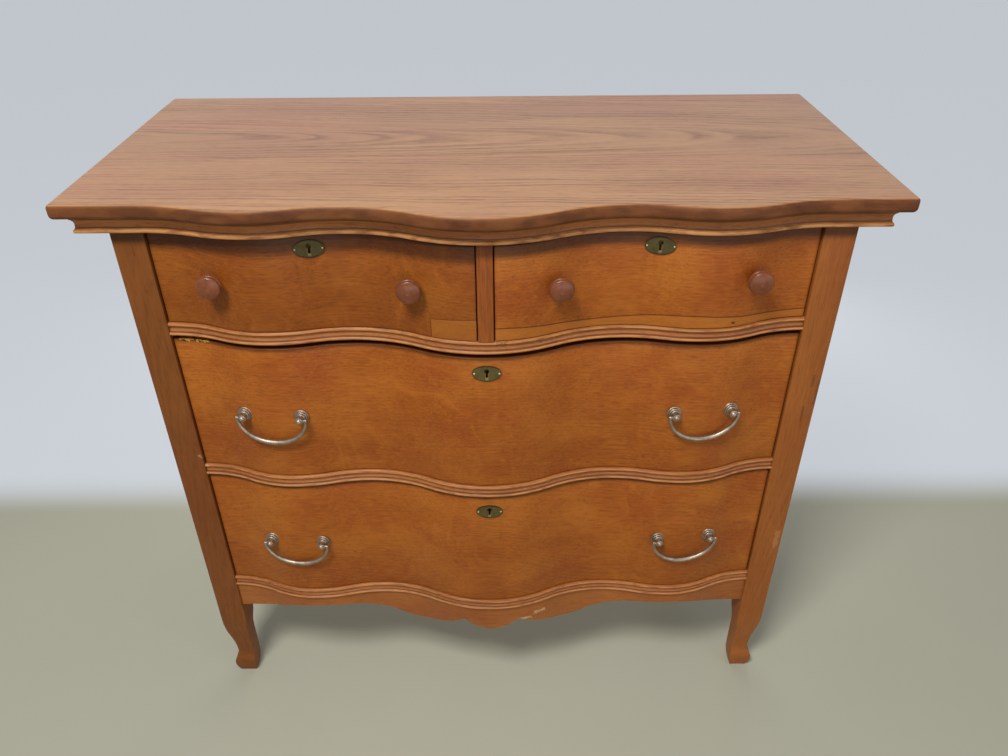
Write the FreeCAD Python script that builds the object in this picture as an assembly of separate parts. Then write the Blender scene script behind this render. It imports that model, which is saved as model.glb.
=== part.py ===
import FreeCAD, Part
import math
import os

from FreeCAD import Vector

# A serpentine-front oak dresser: two small drawers over two wide ones, between square posts
# that end in shaped feet. Lengths are in millimetres. X runs to the right, Y to the back and
# Z up; the origin is on the floor under the middle of the top.

# Overall sizes
top_width = 1073.0
top_depth = 532.0               # from the middle bulge of the front edge to the back edge
top_thickness = 19.5
top_back_overhang = 10.0
case_width = 960.0              # across the outer faces of the posts
leg_height = 229.0              # floor to the underside of the lower rail
rail_thickness = 19.5
lower_opening = 227.5           # heights of the drawer openings
middle_opening = 229.5
upper_opening = 138.5
moulding_height = 24.0

# Serpentine line: stations along X, and how far each line reaches in front of the posts there
valley_x = 183.0
crest_x = 294.0
top_centre_reach = 78.0
top_valley_reach = 38.0
top_crest_reach = 52.0
top_end_reach = 28.0
moulding_centre_reach = 61.0
moulding_valley_reach = 22.0
moulding_crest_reach = 38.0
moulding_end_reach = 14.0
rail_centre_reach = 60.0
rail_valley_reach = 18.5
rail_crest_reach = 32.0
upper_rail_shortfall = 2.5      # the upper rail reaches less far than the other two

# Top board edge
top_upper_round = 5.0
top_lower_round = 6.5
top_corner_round = 6.0

# Moulding under the top
top_side_overhang = 18.0        # past the moulding
moulding_strip_width = 70.0
moulding_nose_depth = 9.5
moulding_fillet_height = 4.5
moulding_cove_depth = 3.6       # from the face of the fillet
moulding_cove_height = 9.5      # from its deepest place up to the fillet
moulding_quirk = 0.5
moulding_bead_setback = 0.8     # behind the fillet
moulding_bead_round = 3.3

# Rails between the drawers
rail_nose_depth = 7.0
rail_lower_bead = 6.0           # heights of the two beads
rail_upper_bead = 6.0
rail_upper_setback = 1.5
rail_band_hollow = 0.8

# Posts and their feet
post_width = 43.0
post_depth = 45.0
knee_height = 140.0
ankle_height = 47.0
toe_height = 22.0
ankle_tuck = 11.5               # outer side, measured in from the post's face
toe_tuck = 2.5
floor_tuck = 8.5
ankle_front_tuck = 6.0          # the same on the front
toe_front_tuck = 0.5
floor_front_tuck = 3.5
inner_ankle_height = 90.0
inner_ankle_tuck = 3.0
inner_heel_tuck = 5.5
rear_ankle_tuck = 11.0
rear_heel_tuck = 16.0
heel_height = 27.0
rear_leg_taper = 9.0

# Joints between the case members
tenon_length = 20.0
tenon_thickness = 10.0
tenon_width = 25.0
tenon_setback = 10.0

# Sides and back of the case
side_rail_thickness = 22.0
side_rail_setback = 2.0
upper_side_rail_height = 60.0
lower_side_rail_height = 70.0
lower_side_rail_drop = 20.0     # below the top of the legs
side_tenon_shoulder = 8.0
panel_thickness = 8.0
panel_recess = 8.0
panel_groove = 8.0
back_board_thickness = 8.0
back_board_rabbet = 12.0
back_board_gap = 1.5
back_board_count = 3
rear_rail_depth = 20.0
rear_top_rail_width = 50.0

# Apron under the lower rail
apron_inset = 4.0
apron_thickness = 20.0
apron_end_drop = 51.5           # below the lower rail
apron_crest_drop = 20.5
apron_low_drop = 55.5
apron_cusp_drop = 29.5
apron_lobe_drop = 49.5
apron_low_x = 125.0
apron_cusp_x = 45.0
apron_low_share = 0.15          # of the two radii that meet between the crest and the low point

# Stile, runners and kickers
stile_width = 21.0
stile_inset = 4.0
stile_depth = 40.0
runner_width = 30.0
guide_height = 15.0
centre_runner_width = 70.0
kicker_width = 44.0
centre_kicker_width = 60.0
block_leg = 38.0
block_height = 45.0

# Drawers
face_inset = 5.0                # behind the beads of the rails
front_thickness = 21.0
drawer_side_gap = 1.5
slide_gap = 0.3                 # between a drawer's side and its runner
front_bottom_gap = 0.8
narrow_top_gap = 2.2
middle_top_gap = 6.5
side_thickness = 11.0
side_top_gap = 7.0
drawer_back_clearance = 10.0
back_thickness = 11.0
back_setback = 4.0
back_housing = 4.0
back_top_drop = 6.0
bottom_thickness = 6.0
bottom_lift = 9.0
bottom_groove = 5.5
tail_pitch = 27.0
tail_lap = 6.5                  # wood left in front of the dovetails
tail_front_share = 0.74         # of the pitch
tail_neck_share = 0.52

# Locks and escutcheons
upper_key_drop = 18.0           # keyhole below the top edge of the front
middle_key_drop = 23.5
lower_key_drop = 29.0
lock_width = 50.0
lock_depth = 9.0
lock_sink = 1.5
lock_below_key = 12.0
lock_plate_width = 62.0
lock_plate_thickness = 2.0
bolt_width = 24.0
bolt_thickness = 3.0
bolt_length = 16.0
bolt_clearance = 0.3
bolt_rest_drop = 0.5
bolt_throw = 11.0
bolt_socket_clearance = 1.0
key_round = 3.4                 # radii of the keyhole in the plate and in the wood behind it
key_round_in_wood = 5.0
key_slot_width = 3.4
key_wood_margin = 1.0           # slot in the wood wider than in the plate, each side
key_slot_drop = 9.0
key_wood_drop = 12.0            # the slot in the wood runs on lower, behind the plate
key_rise = 4.0                  # centre of the round part above the middle of the plate
escutcheon_width = 40.0
escutcheon_height = 24.6
escutcheon_thickness = 1.2
pin_spacing = 34.0
pin_head_radius = 1.7
pin_head_height = 1.1
pin_radius = 0.8
pin_length = 8.0

# Wooden knobs
knob_rise = 3.0                 # above the middle of the opening
knob_spacing = 258.0
knob_shift = 3.0                # away from the middle of the dresser
knob_radius = 16.4
knob_projection = 26.0
knob_neck_radius = 6.5
knob_foot_radius = 9.5
knob_foot_height = 2.5
knob_waist_height = 7.0
knob_under_height = 12.0
knob_groove_height = 18.4
knob_dome_height = 23.4
knob_groove_depth = 1.7
knob_edge_round = 1.9
knob_dowel_radius = 5.0
knob_dowel_length = 15.0

# Bail pulls
pull_drop = 4.5                 # below the middle of the opening
pull_spacing = 618.0            # between the middles of the two pulls of a drawer
pull_boring = 83.0              # between the posts of one pull
pull_ring_radii = (11.0, 9.3, 7.6)  # rings that step down from the foot
pull_ring_height = 2.6
pull_ring_groove = 1.0
pull_head_radius = 5.8
pull_head_top = 14.6
pull_neck_height = 15.2
pull_ball_radius = 4.4          # the round end of the head
pull_projection = 18.6
pull_shank_radius = 2.4
pull_nut_across = 10.0
pull_nut_thickness = 3.0
pull_shank_proud = 1.0          # past the nut
pull_seat_depth = 4.0           # spare length of the foot before it is shaped to the drawer face
bail_axis_reach = 12.0
bail_drop = 42.0
bail_arm_radius = 2.4
bail_grip_radius = 3.9
bail_pin_radius = 2.0
bail_pin_clearance = 0.08
bail_hole_depth = 4.5
bail_end_gap = 0.3
bail_knuckle_radius = 2.6
bail_stations = 14              # steps along the loop

overrun = 5.0                   # how far a cutting body passes the surface that it cuts
closeness = 0.01                # within which two places count as the same

# Heights worked out from the floor up
lower_rail_z = leg_height
lower_drawer_z = lower_rail_z + rail_thickness
middle_rail_z = lower_drawer_z + lower_opening
middle_drawer_z = middle_rail_z + rail_thickness
upper_rail_z = middle_drawer_z + middle_opening
upper_drawer_z = upper_rail_z + rail_thickness
moulding_z = upper_drawer_z + upper_opening
top_z = moulding_z + moulding_height

# Places worked out in plan
post_front = top_centre_reach - top_depth / 2
post_back = post_front + post_depth
post_outer = case_width / 2
post_inner = post_outer - post_width
case_back = top_depth / 2 - top_back_overhang
rear_post_front = case_back - post_depth
back_board_front = case_back - back_board_thickness
rear_rail_front = back_board_front - rear_rail_depth
moulding_side = top_width / 2 - top_side_overhang
moulding_front = post_front - moulding_end_reach
moulding_inner = moulding_side - moulding_strip_width
moulding_back = moulding_front + moulding_strip_width
drawer_back = rear_rail_front - drawer_back_clearance

# Depths of the lock behind the drawer face
lock_back = front_thickness - lock_sink
lock_front = lock_back - lock_depth
bolt_y = lock_front + lock_depth / 2

across = Vector(1, 0, 0)
backward = Vector(0, 1, 0)
upward = Vector(0, 0, 1)
origin = Vector(0, 0, 0)

top_reach = (top_centre_reach, top_valley_reach, top_crest_reach, top_end_reach)
moulding_reach = (moulding_centre_reach, moulding_valley_reach, moulding_crest_reach, moulding_end_reach)
rail_reach = (rail_centre_reach, rail_valley_reach, rail_crest_reach, 0)
upper_rail_reach = tuple(max(0, reach - upper_rail_shortfall) for reach in rail_reach)


# Small helpers for solids and outlines

def block(x_from, x_to, y_from, y_to, z_from, z_to):
    return Part.makeBox(x_to - x_from, y_to - y_from, z_to - z_from, Vector(x_from, y_from, z_from))


def mirrored(shape):
    return shape.mirror(origin, across)


def both_sides(shape):
    return Part.makeCompound([mirrored(shape), shape])


# An outline is a start point and its steps: a point ends a straight line, and a pair of points
# is the middle and the end of an arc. The last line closes it.
def outline(start, steps):
    edges = []
    here = start
    for step in steps + [start]:
        if isinstance(step, tuple):
            edges.append(Part.Arc(here, step[0], step[1]).toShape())
            here = step[1]
        elif (step - here).Length > closeness:
            edges.append(Part.LineSegment(here, step).toShape())
            here = step
    return Part.Face(Part.Wire(edges))


# An arc that leaves one point along the first coordinate and ends at another
def turn_arc(start, end, place):
    run = end[0] - start[0]
    rise = end[1] - start[1]
    radius = (run ** 2 + rise ** 2) / (2 * abs(rise))
    half_angle = math.asin(min(1, abs(run) / radius)) / 2
    middle_run = math.copysign(radius * math.sin(half_angle), run)
    middle_rise = math.copysign(radius * (1 - math.cos(half_angle)), rise)
    return (place(start[0] + middle_run, start[1] + middle_rise), place(end[0], end[1]))


# Two tangent arcs from one point to another that run along the first coordinate at both ends
def ease(start, end, place, start_share=0.5):
    run = end[0] - start[0]
    rise = end[1] - start[1]
    radii = (run ** 2 + rise ** 2) / (2 * abs(rise))
    join = (start[0] + run * start_share, start[1] + rise * start_share)
    first = turn_arc(start, join, place)
    lean = math.asin(min(1, abs(run) / radii)) / 2
    back_radius = radii * (1 - start_share)
    middle_run = math.copysign(back_radius * math.sin(lean), run)
    middle_rise = math.copysign(back_radius * (1 - math.cos(lean)), rise)
    return [first, (place(end[0] - middle_run, end[1] - middle_rise), place(end[0], end[1]))]


# Serpentine lines: tangent arcs between stations where the line runs straight across

class Stretch:
    def __init__(self, start, end, centre_x, centre_y, radius, bulge):
        self.start = start
        self.end = end
        self.centre_x = centre_x
        self.centre_y = centre_y
        self.radius = radius
        self.bulge = bulge              # 1 swells to the front, -1 is hollow, 0 is straight

    def y(self, x):
        if self.bulge == 0:
            return self.centre_y
        return self.centre_y - self.bulge * math.sqrt(self.radius ** 2 - (x - self.centre_x) ** 2)

    def slope(self, x):
        if self.bulge == 0:
            return 0
        return self.bulge * (x - self.centre_x) / math.sqrt(self.radius ** 2 - (x - self.centre_x) ** 2)

    def angle(self, x):
        return math.degrees(self.bulge * math.asin((x - self.centre_x) / self.radius))

    def edge(self, x_from, x_to):
        first = Vector(x_from, self.y(x_from), 0)
        last = Vector(x_to, self.y(x_to), 0)
        if self.bulge == 0:
            return Part.LineSegment(first, last).toShape()
        middle_x = (x_from + x_to) / 2
        return Part.Arc(first, Vector(middle_x, self.y(middle_x), 0), last).toShape()

    def mirror(self):
        return Stretch(-self.end, -self.start, -self.centre_x, self.centre_y, self.radius, self.bulge)


def serpentine(reach, inset):
    stations = (0, valley_x, crest_x, post_inner)
    half = []
    for place in range(3):
        run = stations[place + 1] - stations[place]
        rise = reach[place + 1] - reach[place]
        bulge = 1 if rise < 0 else -1
        radius = (run ** 2 + rise ** 2) / (4 * abs(rise))
        near_y = post_front - reach[place] + bulge * radius
        far_y = post_front - reach[place + 1] - bulge * radius
        near_radius = radius - bulge * inset
        far_radius = radius + bulge * inset
        join = stations[place] + near_radius * run / (2 * radius)
        half.append(Stretch(stations[place], join, stations[place], near_y, near_radius, bulge))
        half.append(Stretch(join, stations[place + 1], stations[place + 1], far_y, far_radius, -bulge))
    half.append(Stretch(post_inner, top_width, 0, post_front - reach[3] + inset, 0, 0))
    return [stretch.mirror() for stretch in reversed(half)] + half


def stretches_between(line, x_from, x_to):
    found = []
    for stretch in line:
        start = max(stretch.start, x_from)
        end = min(stretch.end, x_to)
        if end - start > closeness:
            found.append((stretch, start, end))
    return found


def line_edges(line, x_from, x_to):
    return [stretch.edge(start, end) for stretch, start, end in stretches_between(line, x_from, x_to)]


def stretch_at(line, x):
    return [stretch for stretch in line if stretch.start <= x <= stretch.end][0]


# A board whose front follows a serpentine line and whose back is straight
def shaped_board(reach, inset, x_from, x_to, y_back, z_from, z_to):
    edges = line_edges(serpentine(reach, inset), x_from, x_to)
    right = edges[-1].valueAt(edges[-1].LastParameter)
    left = edges[0].valueAt(edges[0].FirstParameter)
    corners = [right, Vector(x_to, y_back, 0), Vector(x_from, y_back, 0), left]
    edges += [Part.LineSegment(a, b).toShape() for a, b in zip(corners, corners[1:])]
    face = Part.Face(Part.Wire(edges))
    face.translate(upward * z_from)
    return face.extrude(upward * (z_to - z_from))


# A board of even thickness that follows a serpentine line
def bent_board(reach, inset, thickness, x_from, x_to, z_from, z_to):
    front = line_edges(serpentine(reach, inset), x_from, x_to)
    back = line_edges(serpentine(reach, inset + thickness), x_from, x_to)
    ends = []
    for edge_front, edge_back, at_start in ((front[0], back[0], True), (front[-1], back[-1], False)):
        tips = []
        for edge in (edge_front, edge_back):
            tips.append(edge.valueAt(edge.FirstParameter if at_start else edge.LastParameter))
        ends.append(Part.LineSegment(tips[0], tips[1]).toShape())
    face = Part.Face(Part.Wire(Part.sortEdges(front + back + ends)[0]))
    face.translate(upward * z_from)
    return face.extrude(upward * (z_to - z_from))


# A moulded edge: a profile, drawn in depth and height, that is run along a serpentine line
def run_moulding(profile, reach, x_to, z_from):
    pieces = []
    for stretch, start, end in stretches_between(serpentine(reach, 0), -x_to, x_to):
        face = profile.copy()
        if stretch.bulge == 0:
            face.translate(Vector(start, stretch.centre_y, z_from))
            pieces.append(face.extrude(across * (end - start)))
            continue
        axis = Vector(stretch.centre_x, stretch.centre_y, 0)
        face.translate(Vector(stretch.centre_x, stretch.centre_y - stretch.bulge * stretch.radius, z_from))
        angles = sorted((stretch.angle(start), stretch.angle(end)))
        face.rotate(axis, upward, angles[0])
        pieces.append(face.revolve(axis, upward, angles[1] - angles[0]))
    return pieces


# The place on a serpentine line where something stands square to the face
def set_on_line(shape, reach, inset, x, z):
    stretch = stretch_at(serpentine(reach, inset), x)
    placed = shape.copy()
    placed.rotate(origin, upward, math.degrees(math.atan(stretch.slope(x))))
    placed.translate(Vector(x, stretch.y(x), z))
    return placed


# A turned piece that stands on the XZ plane and points to the front; the profile is given as
# radius and distance out
def turned(start, steps):
    def place(radius, out):
        return Vector(radius, -out, 0)
    placed = []
    for step in steps:
        if isinstance(step[0], tuple):
            placed.append((place(*step[0]), place(*step[1])))
        else:
            placed.append(place(*step))
    return outline(place(*start), placed).revolve(origin, backward, 360)


# Case: top and mouldings

def make_top_board():
    board = shaped_board(top_reach, 0, -top_width / 2, top_width / 2, top_depth / 2,
                         top_z, top_z + top_thickness)
    corners = [edge for edge in board.Edges if is_front_corner(edge)]
    board = board.makeFillet(top_corner_round, corners)
    board = board.makeFillet(top_upper_round, rim_edges(board, top_z + top_thickness))
    return board.makeFillet(top_lower_round, rim_edges(board, top_z))


def is_front_corner(edge):
    place = edge.CenterOfMass
    return abs(abs(place.x) - top_width / 2) < closeness and place.y < 0 and edge.BoundBox.YLength < closeness


# The edges of the top board at one height, without the one along the back
def rim_edges(board, z):
    level = [edge for edge in board.Edges if abs(edge.CenterOfMass.z - z) < closeness]
    return [edge for edge in level if edge.CenterOfMass.y < top_depth / 2 - closeness]


# The face of the fillet lies at 0, and the bead under the cove stands a little behind it
def moulding_profile():
    height = moulding_height
    fillet_z = height - moulding_fillet_height
    cove_z = fillet_z - moulding_cove_height
    hollow = moulding_cove_depth
    bend = math.sqrt(0.5)
    lip = moulding_bead_round
    bead_out = moulding_bead_setback
    cove_upper = Vector(0, moulding_quirk + (hollow - moulding_quirk) * bend,
                        cove_z + moulding_cove_height * bend)
    bead_top = Vector(0, bead_out + lip * (1 - bend), lip * (1 + bend))
    cove_lower = Vector(0, bead_top.y + (hollow - bead_top.y) * bend,
                        bead_top.z + (cove_z - bead_top.z) * (1 - bend))
    return outline(
        Vector(0, moulding_nose_depth, 0),
        [Vector(0, moulding_nose_depth, height),
         Vector(0, 0, height),
         Vector(0, 0, fillet_z),
         Vector(0, moulding_quirk, fillet_z),
         (cove_upper, Vector(0, hollow, cove_z)),
         (cove_lower, bead_top),
         (Vector(0, bead_out, lip), Vector(0, bead_out + lip, 0))])


def make_front_moulding():
    board = shaped_board(moulding_reach, moulding_nose_depth, -moulding_side, moulding_side,
                         moulding_back, moulding_z, top_z)
    nose = run_moulding(moulding_profile(), moulding_reach, moulding_side, moulding_z)
    strip = board.multiFuse(nose).removeSplitter()
    waste = mitre_waste(Vector(moulding_side + overrun, moulding_back + overrun, 0))
    return strip.cut(both_sides(waste))


# The waste beyond a mitre line, on the side of the given corner
def mitre_waste(corner):
    outer = Vector(moulding_side + overrun, moulding_front - overrun, 0)
    inner = Vector(moulding_inner - overrun, moulding_back + overrun, 0)
    face = outline(outer, [corner, inner])
    face.translate(upward * (moulding_z - overrun))
    return face.extrude(upward * (moulding_height + 2 * overrun))


def make_right_moulding():
    profile = moulding_profile()
    profile.rotate(origin, upward, 90)
    profile.translate(Vector(moulding_side, moulding_front, moulding_z))
    nose = profile.extrude(backward * (case_back - moulding_front))
    board = block(moulding_inner, moulding_side - moulding_nose_depth, moulding_front, case_back,
                  moulding_z, top_z)
    strip = board.fuse(nose).removeSplitter()
    waste = mitre_waste(Vector(moulding_inner - overrun, moulding_front - overrun, 0))
    return strip.cut(waste)


# Case: posts

def foot_side(face, tucks, place):
    waist, toe, floor = [(z, face + tuck) for z, tuck in zip((ankle_height, toe_height, 0), tucks)]
    return (ease((knee_height, face), waist, place) + ease(waist, toe, place)
            + [turn_arc(toe, floor, place)])


def foot_back(face, ankle, heel, place):
    knee = (knee_height, face)
    waist = (inner_ankle_height, face + ankle)
    low_waist = (heel_height, face + ankle)
    floor = (0, face + heel)
    steps = [place(*floor)]
    middle, _ = turn_arc(low_waist, floor, place)
    steps.append((middle, place(*low_waist)))
    steps.append(place(*waist))
    return steps + ease(waist, knee, place)


# The front posts are sawn to shape from two sides, like the feet of a sofa
def make_right_front_post():
    def seen_from_front(z, x):
        return Vector(x, 0, z)

    def seen_from_side(z, y):
        return Vector(0, y, z)

    front_view = outline(
        Vector(post_outer, 0, moulding_z),
        [Vector(post_outer, 0, knee_height)]
        + foot_side(post_outer, (-ankle_tuck, -toe_tuck, -floor_tuck), seen_from_front)
        + foot_back(post_inner, inner_ankle_tuck, inner_heel_tuck, seen_from_front)
        + [Vector(post_inner, 0, moulding_z)])
    side_view = outline(
        Vector(0, post_front, moulding_z),
        [Vector(0, post_front, knee_height)]
        + foot_side(post_front, (ankle_front_tuck, toe_front_tuck, floor_front_tuck), seen_from_side)
        + foot_back(post_back, -rear_ankle_tuck, -rear_heel_tuck, seen_from_side)
        + [Vector(0, post_back, moulding_z)])
    front_view.translate(backward * post_front)
    side_view.translate(across * post_inner)
    post = front_view.extrude(backward * post_depth).common(side_view.extrude(across * post_width))
    for rail in make_front_rails():
        post = post.cut(rail)
    return post.cut(make_right_side_rails()).cut(make_right_panel())


# The rear posts are plain, with the two inner faces of the leg tapered
def make_right_rear_post():
    post = block(post_inner, post_outer, rear_post_front, case_back, 0, moulding_z)
    inner = outline(
        Vector(post_inner, rear_post_front, leg_height - lower_side_rail_drop),
        [Vector(post_inner, rear_post_front, 0), Vector(post_inner + rear_leg_taper, rear_post_front, 0)])
    front = outline(
        Vector(post_inner, rear_post_front, leg_height - lower_side_rail_drop),
        [Vector(post_inner, rear_post_front, 0), Vector(post_inner, rear_post_front + rear_leg_taper, 0)])
    post = post.cut(inner.extrude(backward * post_depth)).cut(front.extrude(across * post_width))
    post = post.cut(make_right_side_rails()).cut(make_right_panel())
    return post.cut(make_rear_rails()).cut(Part.makeCompound(make_back_boards()))


# Case: frames of the sides and the back

def make_side_rail(z_from, z_to):
    outer = post_outer - side_rail_setback
    inner = outer - side_rail_thickness
    middle = (inner + outer) / 2
    board = block(inner, outer, post_back, rear_post_front, z_from, z_to)
    tenons = block(middle - tenon_thickness / 2, middle + tenon_thickness / 2,
                   post_back - tenon_length, rear_post_front + tenon_length,
                   z_from + side_tenon_shoulder, z_to - side_tenon_shoulder)
    return board.fuse(tenons).removeSplitter()


def make_right_side_rails():
    lower_z = leg_height - lower_side_rail_drop
    lower = make_side_rail(lower_z, lower_z + lower_side_rail_height)
    upper = make_side_rail(moulding_z - upper_side_rail_height, moulding_z)
    return Part.makeCompound([lower.cut(make_right_panel()), upper.cut(make_right_panel())])


def make_right_panel():
    outer = post_outer - panel_recess
    low = leg_height - lower_side_rail_drop + lower_side_rail_height - panel_groove
    high = moulding_z - upper_side_rail_height + panel_groove
    return block(outer - panel_thickness, outer, post_back - panel_groove, rear_post_front + panel_groove,
                 low, high)


def make_back_boards():
    height = moulding_z - lower_rail_z
    board_height = (height - (back_board_count - 1) * back_board_gap) / back_board_count
    half = post_inner + back_board_rabbet
    boards = []
    for place in range(back_board_count):
        low = lower_rail_z + place * (board_height + back_board_gap)
        boards.append(block(-half, half, back_board_front, case_back, low, low + board_height))
    return boards


def make_rear_rails():
    middle_y = (rear_rail_front + back_board_front) / 2
    rails = []
    for z in (lower_rail_z, middle_rail_z, upper_rail_z):
        board = block(-post_inner, post_inner, rear_rail_front, back_board_front, z, z + rail_thickness)
        tenon_z = z + (rail_thickness - tenon_thickness) / 2
        tenon = block(-post_inner - tenon_length, post_inner + tenon_length,
                      middle_y - tenon_thickness / 2, middle_y + tenon_thickness / 2,
                      tenon_z, tenon_z + tenon_thickness)
        rails.append(board.fuse(tenon).removeSplitter())
    rails.append(block(-moulding_inner, moulding_inner, case_back - rear_top_rail_width, case_back,
                       moulding_z, top_z))
    return Part.makeCompound(rails)


# Case: serpentine rails, stile and apron

def rail_profile():
    low = rail_lower_bead / 2
    high = rail_upper_bead / 2
    band_low = Vector(0, low, rail_lower_bead)
    band_high = Vector(0, rail_upper_setback + high, rail_thickness - rail_upper_bead)
    hollow = (band_low + band_high) / 2 + backward * rail_band_hollow
    return outline(
        Vector(0, rail_nose_depth, 0),
        [Vector(0, low, 0),
         (Vector(0, 0, low), band_low),
         (hollow, band_high),
         (Vector(0, rail_upper_setback, rail_thickness - high),
          Vector(0, rail_upper_setback + high, rail_thickness)),
         Vector(0, rail_nose_depth, rail_thickness)])


def make_front_rail(reach, z):
    board = shaped_board(reach, rail_nose_depth, -post_inner, post_inner, post_back, z, z + rail_thickness)
    nose = run_moulding(rail_profile(), reach, post_inner, z)
    tenon_z = z + (rail_thickness - tenon_thickness) / 2
    tenon = block(-post_inner - tenon_length, post_inner + tenon_length,
                  post_front + tenon_setback, post_front + tenon_setback + tenon_width,
                  tenon_z, tenon_z + tenon_thickness)
    return board.multiFuse(nose + [tenon]).removeSplitter()


# From the bottom up
def make_front_rails():
    return [make_front_rail(rail_reach, lower_rail_z), make_front_rail(rail_reach, middle_rail_z),
            make_front_rail(upper_rail_reach, upper_rail_z)]


def make_stile():
    back = post_front - rail_centre_reach + stile_inset + stile_depth
    return shaped_board(rail_reach, stile_inset, -stile_width / 2, stile_width / 2, back,
                        upper_drawer_z, moulding_z)


def make_apron():
    front_y = post_front - rail_centre_reach - overrun

    def place(x, drop):
        return Vector(x, front_y, lower_rail_z - drop)

    lobe = (0, apron_lobe_drop)
    cusp = (apron_cusp_x, apron_cusp_drop)
    low = (apron_low_x, apron_low_drop)
    crest = (crest_x, apron_crest_drop)
    end = (post_inner, apron_end_drop)
    far_below = apron_low_drop + 2 * overrun
    waste = outline(
        place(*lobe),
        [turn_arc(lobe, cusp, place), (turn_arc(low, cusp, place)[0], place(*low))]
        + ease(low, crest, place, apron_low_share) + ease(crest, end, place)
        + [place(post_inner + overrun, apron_end_drop), place(post_inner + overrun, far_below),
           place(0, far_below)])
    waste = waste.extrude(backward * (rail_centre_reach + apron_inset + apron_thickness + 2 * overrun))
    board = bent_board(rail_reach, apron_inset, apron_thickness, -post_inner, post_inner,
                       lower_rail_z - apron_low_drop - overrun, lower_rail_z)
    return board.cut(waste).cut(mirrored(waste)).removeSplitter()


# Case: runners, kickers and glue blocks

def make_right_runners():
    guide_outer = post_outer - side_rail_setback - side_rail_thickness
    runners = []
    for z in (lower_rail_z, middle_rail_z, upper_rail_z):
        bearer = block(post_inner - runner_width, post_inner, post_back, rear_rail_front,
                       z, z + rail_thickness)
        guide = block(post_inner, guide_outer, post_back, rear_post_front,
                      z, z + rail_thickness + guide_height)
        runners.append(bearer.fuse(guide).removeSplitter())
    return Part.makeCompound(runners)


def make_centre_runner():
    base = block(-centre_runner_width / 2, centre_runner_width / 2, post_back, rear_rail_front,
                 upper_rail_z, upper_drawer_z)
    guide = block(-stile_width / 2, stile_width / 2, post_back, rear_rail_front,
                  upper_drawer_z, upper_drawer_z + guide_height)
    return base.fuse(guide).removeSplitter()


def make_kickers():
    rear = case_back - rear_top_rail_width
    right = block(moulding_inner - kicker_width, moulding_inner, moulding_back, rear, moulding_z, top_z)
    middle = block(-centre_kicker_width / 2, centre_kicker_width / 2, moulding_back, rear,
                   moulding_z, top_z)
    return Part.makeCompound([mirrored(right), right, middle])


def make_glue_blocks():
    apron_back = post_front + apron_inset + apron_thickness
    low = lower_rail_z - block_height
    front = outline(
        Vector(post_inner, apron_back, low),
        [Vector(post_inner - block_leg, apron_back, low), Vector(post_inner, apron_back + block_leg, low)])
    front = front.extrude(upward * block_height).cut(make_apron())
    rear = outline(
        Vector(post_inner, rear_rail_front, low),
        [Vector(post_inner - block_leg, rear_rail_front, low),
         Vector(post_inner, rear_rail_front - block_leg, low)])
    rear = rear.extrude(upward * block_height)
    return Part.makeCompound([mirrored(front), front, mirrored(rear), rear])


# Drawers

class Drawer:
    def __init__(self, name, opening_left, opening_right, z, opening, top_gap, key_drop):
        self.name = name
        self.left = opening_left + drawer_side_gap
        self.right = opening_right - drawer_side_gap
        self.front_low = z + front_bottom_gap
        self.front_high = z + opening - top_gap
        self.side_low = z + slide_gap
        self.side_high = z + opening - side_top_gap
        self.middle_x = (self.left + self.right) / 2
        self.middle_z = z + opening / 2
        self.key_drop = key_drop

    def front_blank(self):
        return bent_board(rail_reach, face_inset, front_thickness, self.left, self.right,
                          self.front_low, self.front_high)

    # Set on the outer face at the middle of the drawer, with heights from the top of the front
    def set_lock(self, shape):
        return set_on_line(shape, rail_reach, face_inset, self.middle_x, self.front_high)


def make_bottom(drawer):
    low = drawer.side_low + bottom_lift
    return shaped_board(rail_reach, face_inset + front_thickness - bottom_groove,
                        drawer.left + side_thickness - bottom_groove,
                        drawer.right - side_thickness + bottom_groove,
                        drawer_back, low, low + bottom_thickness)


def make_back(drawer):
    rear = drawer_back - back_setback
    return block(drawer.left + side_thickness - back_housing, drawer.right - side_thickness + back_housing,
                 rear - back_thickness, rear,
                 drawer.side_low + bottom_lift + bottom_thickness, drawer.side_high - back_top_drop)


# The front end of a side is cut as a row of tails that fan out into the drawer front
def make_tails(drawer, x_from, x_to, front_y):
    height = drawer.side_high - drawer.side_low
    count = max(2, round(height / tail_pitch))
    pitch = height / count
    shoulder_y = front_y + front_thickness
    tails = []
    for place in range(count):
        z = drawer.side_low + (place + 1 / 2) * pitch
        wide = pitch * tail_front_share / 2
        neck = pitch * tail_neck_share / 2
        tail = outline(
            Vector(x_from, front_y, z - wide),
            [Vector(x_from, shoulder_y, z - neck), Vector(x_from, shoulder_y, z + neck),
             Vector(x_from, front_y, z + wide)])
        tails.append(tail.extrude(across * (x_to - x_from)))
    return Part.makeCompound(tails)


def make_sides(drawer):
    face_line = serpentine(rail_reach, face_inset)
    front = drawer.front_blank()
    sides = []
    for x in (drawer.left, drawer.right - side_thickness):
        middle_x = x + side_thickness / 2
        front_y = stretch_at(face_line, middle_x).y(middle_x) + tail_lap
        side = block(x, x + side_thickness, front_y, drawer_back, drawer.side_low, drawer.side_high)
        pins = front.cut(make_tails(drawer, x, x + side_thickness, front_y))
        sides.append(side.cut(pins).cut(make_bottom(drawer)).cut(make_back(drawer)))
    return Part.makeCompound(sides)


# Half-mortise lock with its bolt, drawn square to the drawer face

def lock_box(drawer, x_half, y_from, y_to, z_from, z_to):
    return drawer.set_lock(block(-x_half, x_half, y_from, y_to, z_from, z_to))


def lock_height(drawer):
    return drawer.key_drop + lock_below_key


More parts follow.
